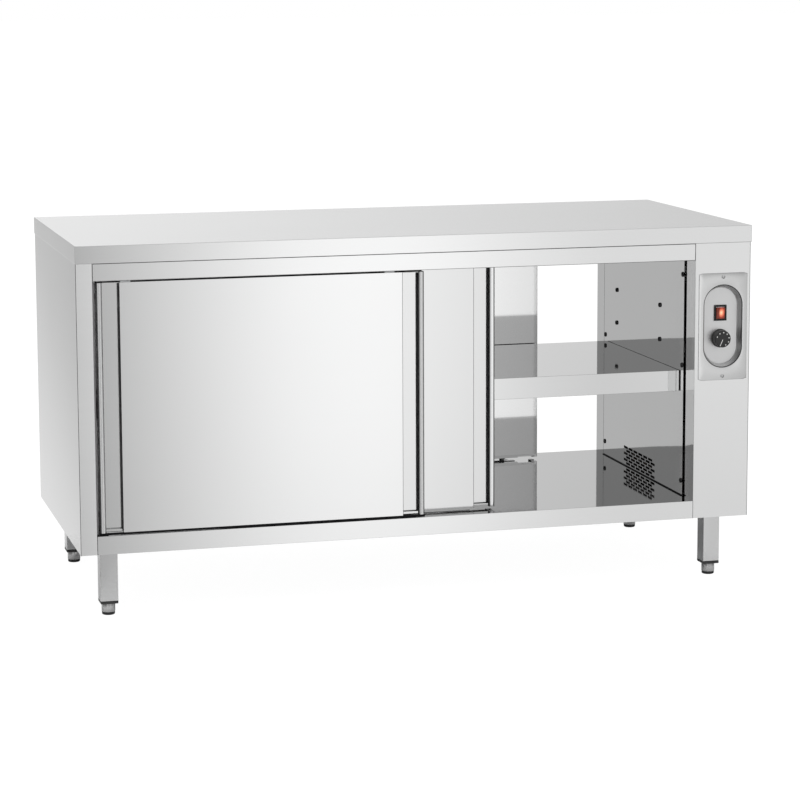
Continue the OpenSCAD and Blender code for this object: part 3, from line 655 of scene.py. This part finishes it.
class CABINET_OT_finishes(bpy.types.Operator):
    """Makes every finish and gives each frame node the one of its material slot"""

    bl_idname = "cabinet.finishes"
    bl_label = "Finishes"

    def execute(self, context):
        steel = list(context.scene.cabinet_sheet.steel)
        controls = context.scene.cabinet_controls
        lamp_x, lamp_z = controls.centre[0] + 0.0015, 0.642

        def sheet(name, share=1.0, rough=0.11, *more, **extra):
            """Stainless sheet whose colour is a share of the steel's."""
            return finish(name, satin_steel([min(1, c * share) for c in steel], rough, *more, **extra))

        FINISH.update(
            steel=sheet("satin stainless sheet"),
            # painted shade: the inner doors' sheet is the steel darkened to 0.9
            recessed=sheet("satin stainless of inner doors", 0.9),
            side=sheet("smooth stainless side", 1.0, 0.09, 0.03, 0.03),
            # painted highlight: the stile's faces are the steel brightened to 1.27
            stile=sheet("satin stainless stile", 1.27),
            fascia=sheet("satin stainless fascia", 0.98),
            # painted shade: the grip channels' floors are the steel darkened to 0.9
            channel=sheet("brushed channel floor", 0.9, 0.12),
            # painted shade: the outer doors' noses are the steel darkened to 0.87
            nose=sheet("dull door nose", 0.87, 0.22),
            # painted highlight: the inner doors' noses are the steel brightened to 1.12
            inner_nose=sheet("satin nose of inner doors", 1.12),
            jamb=sheet("bright stainless jamb", 0.96, *BRIGHT, bow=front_bow),
            right_liner=sheet("stainless right liner", 0.96, *BRIGHT, bow=front_bow),
            inner_skin=sheet("bright inner door skin", 1.08, *BRIGHT, metallic=0.9),
            front_back=sheet("dull front door back", 1.08, 0.3, metallic=0.4),
            # painted shade: the legs are the steel darkened to 0.83
            leg=sheet("satin stainless legs", 0.83, 0.16),
            # painted light: the dish floor and the outer doors' end sides are the steel brightened to 1.15
            dish_floor=sheet("matt stainless dish floor", 1.15, 0.4),
            # painted shade: black on the channels' side walls, the doors' tops, the fold lines, the lower
            # seals, the liner seals and the slot frames
            lining=finish("black edge lining", moulded([0.008, 0.008, 0.009], 0.6, shine=0.1)),
            # partly painted shade: grey seals on the jambs that darken the jamb gaps
            grey_seal=finish("grey edge seal", moulded([0.16, 0.16, 0.162], 0.6, shine=0.2)),
            # partly painted shade: dark strips at panel joints, outer corners and the control dish's rim
            seam=finish("dark panel seam", moulded([0.035, 0.035, 0.036], 0.7)),
            plate=sheet("satin stainless control plate", 0.93, 0.18, tone=painted_plate_shade),
            worktop=sheet("ground stainless worktop", 1.0, 0.2, 0.06),
            liner=sheet("bright stainless liner", 0.9, *BRIGHT),
            # painted shade: the cabinet's inner floor is the steel darkened to 0.73
            bright_floor=sheet("bright stainless floor", 0.73, *BRIGHT),
            polished=finish("polished foot steel", satin_steel([0.5, 0.5, 0.5], 0.2, 0.03, 0.02, 0.02)),
            zinc=finish("zinc plate", plated([0.6, 0.61, 0.62], 0.35)),
            black=finish("black moulded plastic", moulded([0.02, 0.02, 0.02], 0.38)),
            gloss_black=finish("black switch plastic", moulded([0.01, 0.01, 0.01], 0.22, 0.05, shine=0.2)),
            rubber=finish("black rubber", moulded([0.02, 0.02, 0.021], 0.7, 0.3)),
            white=finish("white nylon", moulded([0.8, 0.79, 0.75], 0.4)),
            mark=finish("white pad print", moulded([0.88, 0.88, 0.86], 0.5, 0.05)),
            lamp=finish("lit rocker plastic", lit_rocker(lamp_x, lamp_z, list(controls.lamp))),
            motor=finish("black motor enamel", moulded([0.03, 0.03, 0.034], 0.45, 0.2, 400)),
            aluminium=finish("aluminium wheel", plated([0.72, 0.72, 0.73], 0.3)),
            sheath=finish("heater sheath", satin_steel([0.32, 0.25, 0.2], 0.42, 0.15, 0.05)),
            board=finish("chipboard core", chipboard),
            wool=finish("mineral wool", mineral_wool),
        )
        by_slot = {
            "sheet_steel": "steel", "plated_steel": "zinc", "foot_steel": "polished",
            "dark_metal": "motor", "aluminium_wheel": "aluminium", "heater_tube": "sheath",
            "board": "board", "insulation": "wool", "black_plastic": "black",
            "white_plastic": "white", "lit_orange": "lamp", "black_rubber": "rubber",
        }
        by_node = {"left_liner": "liner", "right_liner": "right_liner", "ceiling_panel": "liner"}
        for door in DOORS:
            by_node[f"{door}_door_back"] = "front_back" if door.startswith("front") else "inner_skin"
        for name, node in NODES.items():
            node.data.materials.clear()
            node.data.materials.append(FINISH[by_node.get(name, by_slot[SLOT_OF[name]])])
        return {"FINISHED"}


# ---------------------------------------------------------------- sheet metal


class CABINET_OT_worktop(bpy.types.Operator):
    """Rounds the worktop's outer edges"""

    bl_idname = "cabinet.worktop"
    bl_label = "Worktop"

    def execute(self, context):
        radius = context.scene.cabinet_sheet.worktop_radius
        ease_node("worktop_skin", radius, "worktop fascia", "folded_worktop",
                  lambda face: int(abs(face.normal.z) < 0.3))
        return {"FINISHED"}


class CABINET_OT_shell(bpy.types.Operator):
    """Rounds the folds of the side panels, rails, floor and column covers"""

    bl_idname = "cabinet.shell"
    bl_label = "Shell"

    def execute(self, context):
        radius = context.scene.cabinet_sheet.fold_radius
        for node in ("right_side_panel", "front_top_rail", "rear_top_rail", "column_front_cover",
                     "column_rear_cover"):
            ease_node(node, radius, "steel jamb", f"folded_{node}",
                      lambda face: int(face.normal.x < -SQUARE))
        # painted highlight: the left panel's front and back faces take the brightened stile finish
        ease_node("left_side_panel", radius, "side stile", "folded_left_side_panel",
                  lambda face: int(abs(face.normal.y) > 0.7))
        # painted shade: the floor pan's upper face takes the darkened floor finish
        ease_node("floor_pan", radius, "steel bright_floor", "folded_floor_pan",
                  lambda face: int(face.normal.z > SQUARE and face.center.z > FLOOR_TOP - 0.005))
        ease_node("shelf", radius, "liner", "folded_shelf")
        return {"FINISHED"}


def door_box(door):
    """A door skin's corners, the place of its outer face, and which way along y is inwards."""
    low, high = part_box(f"{door}_door_skin")
    inwards = 1 if door.startswith("front") else -1
    return low, high, low.y if inwards > 0 else high.y, inwards


class CABINET_OT_doors(bpy.types.Operator):
    """Rounds the folds of the doors' skins and adds channel floors, black lines of painted shade at the
    folds, and lower seals
    """

    bl_idname = "cabinet.doors"
    bl_label = "Doors"

    def execute(self, context):
        for door in DOORS:
            self.skin(door, context.scene.cabinet_sheet.fold_radius)
            self.channel_floors(door)
            self.trim(door)
        return {"FINISHED"}

    def skin(self, door, radius):
        low, high, face_y, inwards = door_box(door)
        strip, channel_reach, lip = 0.003, 0.03, 0.002
        rounding, nose_depth, floor_depth, wall_end = 0.005, 0.007, 0.022, 0.034

        def pick(face):
            """The place of a face's finish, from where it lies and where it looks."""
            across = face.normal.x
            depth = (face.center.y - face_y) * inwards
            from_left = face.center.x - low.x
            to_end = min(from_left, high.x - face.center.x)
            if across > SQUARE and strip < from_left < channel_reach:
                return CHANNEL
            # painted light: the outer doors' end sides take the brightened dish floor finish
            if inwards > 0 and across < -SQUARE and from_left < strip:
                return END_SIDE
            if 0.2 < across < 0.97 and depth < rounding and from_left < channel_reach:
                return END_SIDE
            # painted shade: black on the channels' side walls and the doors' top faces, where shade falls
            if abs(across) > SQUARE and strip < depth < wall_end and (inwards > 0 or to_end > strip):
                return PAINTED_SHADE
            if face.normal.z > SQUARE and face.center.z > high.z - lip:
                return PAINTED_SHADE
            if to_end < NOSE_WIDTH and depth < nose_depth:
                return NOSE
            return CHANNEL if depth > floor_depth and face.normal.y * inwards < -SQUARE else SKIN

        finishes = ("steel channel lining nose dish_floor" if door in OUTER_DOORS
                    else "recessed channel lining inner_nose dish_floor")
        ease_node(f"{door}_door_skin", radius, finishes, f"folded_{door}_door", pick)

    def channel_floors(self, door):
        """A floor in each grip channel, in the channel finish with its painted shade, and a strip at its foot
        on the front doors.
        """
        low, high, face_y, inwards = door_box(door)
        front, back = face_y + 0.0165 * inwards, face_y + 0.0177 * inwards
        floors = []
        for start in (low.x + CHANNEL_START, high.x - CHANNEL_END):
            end = start + CHANNEL_END - CHANNEL_START
            floors.append(((start, front, low.z + 0.005), (end, back, high.z - 0.0014)))
            if inwards > 0:
                floors.append(((start, face_y + 0.008, low.z + 0.0005),
                               (end, face_y + 0.0105, low.z + 0.0068)))
        boxes(f"{door}_channel_floors", BODY_OF[f"{door}_door_skin"], "channel", "sheet_steel", floors)

    def trim(self, door):
        """Black lines of painted shade along the two folds beside the channels, and the outer doors' black
        lower seal, which also paints the shadow in the gap under the door.
        """
        low, high, face_y, inwards = door_box(door)
        half, proud, deep = 0.0004, face_y - 0.0001 * inwards, face_y + 0.0008 * inwards
        strips = [((x - half, proud, low.z), (x + half, deep, high.z))
                  for x in (low.x + PANEL_START, high.x - PANEL_START)]
        if door in OUTER_DOORS:
            strips.append(((low.x, face_y + 0.001 * inwards, low.z - 0.0054),
                           (high.x, face_y + 0.0035 * inwards, low.z + 0.0004)))
        boxes(f"{door}_door_trim", BODY_OF[f"{door}_door_skin"], "lining", "black_rubber", strips)


class CABINET_OT_seams(bpy.types.Operator):
    """Draws dark strips at the panel joints and outer corners and lays seals along the jambs and liners; both
    are partly painted shade of the shadow lines and gaps there
    """

    bl_idname = "cabinet.seams"
    bl_label = "Seams and seals"

    def execute(self, context):
        self.panel_seams()
        self.seals()
        return {"FINISHED"}

    def panel_seams(self):
        rail_low, rail_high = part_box("front_top_rail")
        body_low, body_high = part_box("left_side_panel")[0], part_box("right_side_panel")[1]
        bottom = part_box("floor_pan")[0].z
        stile, half = 0.038, 0.0005
        proud, deep = rail_low.y - 0.0001, rail_low.y + 0.001
        seams = []
        # partly painted shade: dark strips at the rails' joints, along the rail's top and down the body's
        # outer front corners
        for x in (body_low.x + stile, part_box("column_front_cover")[0].x):
            for low, high in ((rail_low.z, rail_high.z), (bottom, FLOOR_TOP)):
                seams.append(((x - half, proud, low), (x + half, deep, high)))
        seams.append(((rail_low.x, proud, rail_high.z - 0.0015), (rail_high.x, deep, rail_high.z)))
        for x in (body_low.x, body_high.x - 2 * half):
            seams.append(((x, proud, bottom), (x + 2 * half, deep, rail_high.z)))
        boxes("panel_seams", "cabinet", "seam", "sheet_steel", seams)

    def seals(self):
        """Grey seals on the jambs; black ones at the liners' feet, the shelf's ends and the jambs' feet. They
        are partly painted shade: they darken the gaps there.
        """
        left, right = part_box("left_liner")[1].x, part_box("right_liner")[0].x
        half_depth, width, thin = 0.281, 0.0025, 0.0015
        black = [((low, -half_depth, FLOOR_TOP), (high, half_depth, FLOOR_TOP + thin))
                 for low, high in ((left, left + width), (right - width, right))]
        shelf_low, shelf_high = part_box("shelf")
        gap, inset = 0.0001, 0.0005
        for low, high in ((left, shelf_low.x), (shelf_high.x, right)):
            black.append(((low + gap, shelf_low.y + inset, shelf_low.z + inset),
                          (high - gap, shelf_high.y - inset, shelf_high.z - inset)))
        jamb_left, jamb_right, corner_right = -0.7619, -0.7585, -0.735
        foot, top = 0.2, 0.768
        grey = []
        for low, high in ((-0.343, -0.283), (0.283, 0.343)):
            grey.append(((jamb_left, low, foot), (jamb_right, high, top)))
            black.append(((jamb_left, low, FLOOR_TOP), (jamb_right, high, foot)))
            black.append(((jamb_right, low, FLOOR_TOP), (corner_right, high, FLOOR_TOP + 0.0004)))
        boxes("jamb_seals", "cabinet", "grey_seal", "black_rubber", grey)
        boxes("liner_seals", "cabinet", "lining", "black_rubber", black)


class CABINET_OT_liner_fittings(bpy.types.Operator):
    """Domes the rubber bumpers, puts rims round the shelf holes and frames the warm-air slots in black of
    painted shade
    """

    bl_idname = "cabinet.liner_fittings"
    bl_label = "Liner fittings"

    def execute(self, context):
        low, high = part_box("door_bumpers")
        radius = 0.006
        dome = [(0.0, 0.0), (radius, 0.0), (radius, 0.0012), (0.0054, 0.002), (0.0036, 0.0024), (0.0, 0.0025)]
        spots = [(y, z) for y in (low.y + radius, high.y - radius) for z in (0.231, 0.511, 0.729)]
        self.on_both_walls("rubber_bumpers", low.x, high.x, spots, dome, "rubber", "black_rubber",
                           "door_bumpers")
        left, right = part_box("left_liner")[1].x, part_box("right_liner")[0].x
        rim = [(0.0041, -0.0004), (0.0041, 0.0026), (0.0045, 0.003), (0.0052, 0.0029), (0.0056, 0.0024),
               (0.0056, -0.0002), (0.0041, -0.0004)]
        spots = [(y, z) for y in (-0.121, 0.186) for z in (0.553, 0.637)]
        self.on_both_walls("shelf_hole_collars", left, right, spots, rim, "motor", "dark_metal")
        self.slot_rims(right)
        return {"FINISHED"}

    def on_both_walls(self, name, left, right, spots, profile, finish_name, slot, *stands_for):
        """Studs at (y, z) spots of the left and the right wall, which look at each other."""
        meshes = [
            studs([(x, y, z) for y, z in spots], profile, (0, turn, 0), finish_name, 24)
            for x, turn in ((left, math.pi / 2), (right, -math.pi / 2))]
        adopt(name, joined(meshes, name), "cabinet", finish_name, slot, *stands_for)

    def slot_rims(self, liner):
        """Frames the warm-air slots of the right liner in black: painted shade that widens the slots' dark
        look.
        """
        half_length, half_width, rim, proud = 0.0125, 0.002, 0.0009, 0.0004
        first_y, first_z, pitch, offset, row_height = -0.0805, 0.203, 0.035, 0.0175, 0.008
        bm = bmesh.new()
        for side in (-1, 1):
            low, high = sorted((side * half_width, side * (half_width + rim)))
            slab(bm, (-proud, -half_length - rim, low), (proud, half_length + rim, high))
            low, high = sorted((side * half_length, side * (half_length + rim)))
            slab(bm, (-proud, low, -half_width), (proud, high, half_width))
        spots = [(liner, first_y + pitch * column + offset * (row % 2), first_z + row_height * row)
                 for row in range(6) for column in range(6)]
        rims = repeated(spots, bm, (0, 0, 0), "lining")
        adopt("slot_rims", rims, "cabinet", "lining", "black_rubber")


# ---------------------------------------------------------------- controls


class CABINET_OT_control_dish(bpy.types.Operator):
    """Presses the control plate's oval recess with rounded rim and foot"""

    bl_idname = "cabinet.control_dish"
    bl_label = "Control dish"

    def execute(self, context):
        settings = context.scene.cabinet_controls
        low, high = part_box("control_dish")
        cx, wall_y, cz = settings.centre
        thickness, rim = 0.0012, settings.rim_radius
        plate_y, floor_y = low.y, high.y - thickness
        width, height = 0.094, 0.194
        draft, foot, steps = 0.005, 0.004, 5
        half_w, mid_z, half_h = (high.x - low.x) / 2, (high.z + low.z) / 2, (high.z - low.z) / 2

        def oval(grow, y):
            """The recess's outline at one depth, larger by grow all round."""
            return [(cx + x, y, cz + z) for x, z in stadium(width + 2 * grow, height + 2 * grow)]

        def plate_edge(inset, y):
            """The rim's outline pushed out to the plate's rectangle, less an inset."""
            points = []
            for x, z in stadium(width + 2 * rim, height + 2 * rim):
                scale = min(half_w / max(abs(x), 1e-9), half_h / max(abs(z), 1e-9))
                points.append((cx + x * scale * (1 - inset / half_w), y,
                               mid_z + z * scale * (1 - inset / half_h)))
            return points

        rings = [plate_edge(0.0, wall_y), plate_edge(0.0, plate_y + 0.0006),
                 plate_edge(0.0004, plate_y + 0.0001), plate_edge(0.001, plate_y), oval(rim, plate_y)]
        for i in range(1, steps + 1):
            a = math.pi / 2 * i / steps
            rings.append(oval(rim * (1 - math.sin(a)), plate_y + rim * (1 - math.cos(a))))
        for i in range(steps + 1):
            a = math.pi / 2 * i / steps
            inwards = draft + foot * (1 - math.cos(a)) - thickness
            rings.append(oval(-inwards, floor_y - foot * (1 - math.sin(a))))
        bm = bmesh.new()
        stitched(bm, rings)
        outward(bm)
        dish = adopt("pressed_control_dish", mesh_from(bm, "pressed_control_dish", 40), "cabinet",
                     "plate dish_floor seam", "sheet_steel", "control_dish")
        for face in dish.data.polygons:
            depth = face.center.y - plate_y
            up = abs(face.center.z - cz) - (height - width) / 2
            reach = math.hypot(face.center.x - cx, max(up, 0))
            on_rim = reach < width / 2 + rim and 0.00001 < depth < rim * 0.6
            # painted shade: the rim's faces take the dark seam finish, a dark line round the recess
            face.material_index = 2 if on_rim else int(depth > 0.012)
        return {"FINISHED"}


class CABINET_OT_dish_screws(bpy.types.Operator):
    """Turns the two domed screws of the control plate"""

    bl_idname = "cabinet.dish_screws"
    bl_label = "Dish screws"

    def execute(self, context):
        low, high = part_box("dish_screws")
        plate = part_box("control_dish")[0].y
        inset = 0.0038
        spots = [((low.x + high.x) / 2, plate, z) for z in (low.z + inset, high.z - inset)]
        head = [(0.0, -0.002), (0.0044, -0.0002), (0.0044, 0.0004), (0.0039, 0.0014), (0.0029, 0.0021),
                (0.0014, 0.0024), (0.0012, 0.0015), (0.0, 0.0013)]
        mesh = studs(spots, head, (math.pi / 2, 0, 0), "fascia", 32)
        adopt("domed_dish_screws", mesh, "cabinet", "fascia", "plated_steel", "dish_screws")
        return {"FINISHED"}


class CABINET_OT_knob(bpy.types.Operator):
    """Turns the thermostat knob and prints its marks"""

    bl_idname = "cabinet.knob"
    bl_label = "Thermostat knob"

    def execute(self, context):
        settings = context.scene.cabinet_controls
        low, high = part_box("thermostat_knob")
        cx, cz = (low.x + high.x) / 2, (low.z + high.z) / 2
        face, length = low.y, 0.02
        cap = bmesh.new()
        lathe(cap, [
            (0.0, 0.0), (0.0215, 0.0), (0.022, 0.0005), (0.022, 0.0028), (0.0216, 0.0034), (0.0206, 0.0038),
            (0.0203, 0.0046), (0.0199, 0.0185), (0.0197, 0.0192), (0.0192, 0.0198), (0.0185, length),
            (0.0, length)], (cx, face + length, cz), (0, -1, 0), 96)
        outward(cap)
        shaft = bmesh.new()
        lathe(shaft, [(0.0, 0.0), (0.003, 0.0), (0.003, 0.0245), (0.0025, 0.025), (0.0, 0.025)],
              (cx, face + length, cz), (0, 1, 0), 24)
        outward(shaft)
        whole = joined([mesh_from(cap, "knob"), mesh_from(shaft, "shaft")], "thermostat_knob_cap")
        adopt("thermostat_knob_cap", whole, "knob", "black", "black_plastic", "thermostat_knob")
        first, step, pointer_turn = math.radians(-69.0), math.radians(37.1), math.radians(204.5)
        mark_radius, thin, pointer_low, pointer_high = 0.0013, 0.0002, 0.00125, 0.01775
        marks = grown(dial_tree(), point_mesh([(0, 0, 0)]), {
            "Count": settings.dot_count, "Ring": settings.dot_ring, "From": first, "Step": step,
            "Mark": mark_radius, "Height": thin, "Finish": FINISH["mark"]})
        pointer = bmesh.new()
        slab(pointer, (-mark_radius / 2, -thin / 2, pointer_low), (mark_radius / 2, thin / 2, pointer_high))
        bmesh.ops.rotate(pointer, cent=(0, 0, 0), matrix=Matrix.Rotation(pointer_turn, 3, "Y"),
                         verts=pointer.verts)
        dial = joined([marks, mesh_from(pointer, "pointer")], "knob_marks")
        proud = 0.00005
        dial.transform(Matrix.Translation((cx, face + proud, cz)))
        adopt("knob_marks", dial, "knob", "mark", "white_plastic")
        return {"FINISHED"}


class CABINET_OT_switch(bpy.types.Operator):
    """Rounds the rocker switch's frame and rocker"""

    bl_idname = "cabinet.switch"
    bl_label = "Rocker switch"

    def execute(self, context):
        ease_node("switch_housing", 0.0006, "gloss_black", "switch_frame")
        ease_node("switch_rocker", 0.0005, "lamp", "lit_rocker")
        return {"FINISHED"}


# ---------------------------------------------------------------- legs and feet


class CABINET_OT_legs(bpy.types.Operator):
    """Rounds the leg tubes and plastic inserts, and turns the levelling feet"""

    bl_idname = "cabinet.legs"
    bl_label = "Legs and feet"

    def execute(self, context):
        radius = context.scene.cabinet_sheet.leg_radius
        for node in ("front_legs", "rear_legs"):
            # painted shade: the leg tubes take the darkened leg finish
            ease_node(node, radius, "leg", f"square_{node}")
        ease_node("leg_inserts", 0.0016, "black", "plastic_leg_inserts")
        sleeve = [(0.0, 0.0065), (0.0146, 0.0065), (0.0153, 0.0072), (0.0155, 0.0082), (0.0155, 0.0256),
                  (0.0152, 0.0264), (0.0146, 0.0267), (0.006, 0.0267), (0.006, 0.111), (0.005, 0.112),
                  (0.0, 0.112)]
        pad = [(0.0, 0.0), (0.0132, 0.0), (0.0143, 0.0008), (0.0148, 0.0022), (0.0148, 0.0068), (0.0, 0.0068)]
        for corner in DOORS:
            foot = f"{corner}_foot"
            low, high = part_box(foot)
            spot = ((low.x + high.x) / 2, (low.y + high.y) / 2, 0)
            adopt(f"{foot}_sleeve", studs([spot], sleeve, (0, 0, 0), "polished", 64), BODY_OF[foot],
                  "polished", "foot_steel", foot)
            adopt(f"{foot}_pad", studs([spot], pad, (0, 0, 0), "rubber", 64), BODY_OF[foot],
                  "rubber", "black_rubber")
        return {"FINISHED"}


# ---------------------------------------------------------------- stage


class CABINET_OT_stage(bpy.types.Operator):
    """Lays the floor, lights the cabinet softly and sets up the camera"""

    bl_idname = "cabinet.stage"
    bl_label = "Stage"

    def execute(self, context):
        stage = context.scene.cabinet_stage
        self.camera(context, stage)
        self.floor(stage)
        self.world(context)
        lamp = bpy.data.lights.new("overhead softbox", "AREA")
        lamp.shape, lamp.size, lamp.size_y, lamp.energy = "RECTANGLE", 3.0, 2.5, 55
        holder = linked("overhead softbox", lamp)
        holder.location = (-0.8, -1.6, 3.2)
        holder.visible_glossy = False
        holder.rotation_euler = (Vector((0, 0, 0.5)) - holder.location).to_track_quat("-Z", "Y").to_euler()
        context.scene.view_settings.view_transform = "Standard"
        return {"FINISHED"}

    def camera(self, context, stage):
        az, dip, roll = stage.heading, stage.dip, stage.roll
        ahead = Vector((math.sin(az) * math.cos(dip), math.cos(az) * math.cos(dip), -math.sin(dip)))
        right = Vector((math.cos(az), -math.sin(az), 0))
        up = right.cross(ahead)
        c, s = math.cos(roll), math.sin(roll)
        right, up = c * right + s * up, -s * right + c * up
        data = bpy.data.cameras.new("view")
        frame_px, sensor = 800, 36
        data.sensor_width = sensor
        data.lens = stage.focal_px / frame_px * sensor
        data.shift_y = -0.1
        data.clip_end = 200
        camera = linked("view", data)
        turn = Matrix((right, up, -ahead)).transposed()
        camera.matrix_world = Matrix.Translation(stage.eye) @ turn.to_4x4()
        context.scene.camera = camera

    def floor(self, stage):
        """A pale floor that glows a little to the camera, and that mirrors see only close to the cabinet."""
        grey, glow_share, glow_strength = stage.floor_grey, 0.86, 1.12
        half_width, half_depth = 0.84, 0.4
        material = bpy.data.materials.new("pale floor")
        recipe = Recipe(material)
        clouds = recipe.noise(recipe.place(), 1.5, 2, 0.5)
        tone = recipe.mix(clouds, [grey * 0.99] * 3, [grey] * 3)
        matt = recipe.node("BsdfDiffuse", {}, {"Color": tone})
        glow = recipe.node("Emission", {}, {"Color": (1, 1, 1), "Strength": glow_strength})
        seen = recipe.node("MixShader", {}, {0: recipe.ray("Camera") * glow_share, 1: matt, 2: glow})
        clear = recipe.node("BsdfTransparent")
        x, y = recipe.axes(recipe.place())[:2]
        away = recipe.larger(abs(x) - half_width, abs(y) - half_depth)
        beyond = recipe.ramp(away * 5, [(0.0, 0.0), (1.0, 1.0)])
        recipe.surface(recipe.node("MixShader", {}, {
            0: recipe.ray("Glossy") * beyond, 1: seen, 2: clear}))
        bm = bmesh.new()
        bmesh.ops.create_grid(bm, x_segments=1, y_segments=1, size=60)
        floor = linked("pale floor", mesh_from(bm, "pale floor"))
        floor.location.z = -0.0005
        floor.data.materials.append(material)

    def world(self, context):
        """A pale studio all round; in reflections its brightness drifts with direction."""
        world = bpy.data.worlds.new("pale studio")
        context.scene.world = world
        recipe = Recipe(world)
        x, y, z = recipe.axes(recipe.node("TexCoord", output="Generated"))
        turn = recipe.node("Math", {"operation": "ARCTAN2"}, {0: x, 1: y})
        peak = 1.45
        tones = [
            (-180, 0.6), (-165, 1.1), (-150, 1.1), (-141, 0.42), (-110, 0.35), (-80, 0.4), (-60, 0.7),
            (-30, 1.0), (-20, 1.06), (-14, 0.98), (0, 0.98), (8.6, 0.94), (21.6, 0.71), (40, 0.62),
            (60, 0.3), (110, 0.3), (140, 0.8), (158.4, 1.0), (160, 0.9), (161.9, 1.02), (162.7, 1.14),
            (163.6, 1.25), (165, 1.38), (166.6, 1.34), (167.5, 1.28), (168.4, 1.17), (169.2, 1.0),
            (170.1, 0.88), (170.8, 0.8), (171.6, 0.64), (173, 0.4), (180, 0.6)]
        round_tone = recipe.ramp(turn / (2 * math.pi) + 0.5, [
            (degrees / 360 + 0.5, tone / peak) for degrees, tone in tones])
        slope = z - 4.2 * x
        rear_left = recipe.ramp(slope * 0.5 + 0.5, [
            (0.5, 1.0), (0.6, 1.0), (0.6725, 0.9), (0.6775, 0.86), (0.685, 0.78), (0.6925, 0.7), (0.7, 0.62),
            (0.705, 0.57), (0.73, 0.54)])
        height = recipe.ramp(z * 0.5 + 0.5, [
            (0.1, 0.3), (0.27, 0.3), (0.29, 0.84), (0.385, 0.86), (0.4, 0.92), (0.4175, 0.97), (0.445, 1.0),
            (0.49, 1.0), (0.51, 0.53)])
        front = recipe.ramp(y * 5 + 0.5, [(0.0, 1.0), (1.0, 0.0)])
        shine = recipe.mix(front, recipe.multiply(round_tone, rear_left), recipe.multiply(round_tone, height))
        high_left = recipe.ramp(x * 2 + 1, [(0.55, 1.0), (0.66, 0.0)]) * recipe.ramp(
            z * 5, [(0.05, 0.0), (0.3, 1.0)])
        shine = recipe.mix(high_left * (1 - front) * 0.48, shine, (0.0, 0.0, 0.0))
        overhead = recipe.ramp(z, [(0.25, 0.0), (0.6, 1.0)])
        shine = recipe.mix(overhead, shine, (0.5, 0.5, 0.5))
        soft = recipe.node("Background", {}, {"Color": (1, 1, 1), "Strength": 0.75})
        mirror = recipe.node("Background", {}, {"Color": shine, "Strength": peak})
        white = recipe.node("Background", {}, {"Color": (1, 1, 1), "Strength": 1.0})
        lit = recipe.node("MixShader", {}, {0: recipe.ray("Glossy"), 1: soft, 2: mirror})
        seen = recipe.larger(recipe.ray("Camera"), recipe.ray("Transmission"))
        recipe.surface(recipe.node("MixShader", {}, {0: seen, 1: lit, 2: white}),
                       "OutputWorld")


# ---------------------------------------------------------------- add-on


class CABINET_PT_panel(bpy.types.Panel):
    """Lists the cabinet's pieces"""

    bl_idname = "CABINET_PT_panel"
    bl_label = "Plate Warmer Cabinet"
    bl_space_type = "VIEW_3D"
    bl_region_type = "UI"
    bl_category = "Cabinet"

    def draw(self, context):
        for operator in OPERATORS:
            self.layout.operator(operator.bl_idname)
        for group in GROUPS:
            settings = getattr(context.scene, group)
            for key in settings.bl_rna.properties.keys():
                if key not in ("rna_type", "name"):
                    self.layout.prop(settings, key)


OPERATORS = (
    CABINET_OT_stage,
    CABINET_OT_finishes,
    CABINET_OT_worktop,
    CABINET_OT_shell,
    CABINET_OT_doors,
    CABINET_OT_seams,
    CABINET_OT_liner_fittings,
    CABINET_OT_control_dish,
    CABINET_OT_dish_screws,
    CABINET_OT_knob,
    CABINET_OT_switch,
    CABINET_OT_legs,
)
GROUPS = {
    "cabinet_sheet": SheetSettings,
    "cabinet_controls": ControlSettings,
    "cabinet_stage": StageSettings,
}


def register():
    for group in GROUPS.values():
        bpy.utils.register_class(group)
    for name, group in GROUPS.items():
        setattr(bpy.types.Scene, name, PointerProperty(type=group))
    for operator in OPERATORS:
        bpy.utils.register_class(operator)
    bpy.utils.register_class(CABINET_PT_panel)


def unregister():
    bpy.utils.unregister_class(CABINET_PT_panel)
    for operator in reversed(OPERATORS):
        bpy.utils.unregister_class(operator)
    for name, group in GROUPS.items():
        delattr(bpy.types.Scene, name)
        bpy.utils.unregister_class(group)


def main():
    register()
    for operator in OPERATORS:
        group, name = operator.bl_idname.split(".")
        getattr(getattr(bpy.ops, group), name)()


if __name__ == "__main__":
    main()
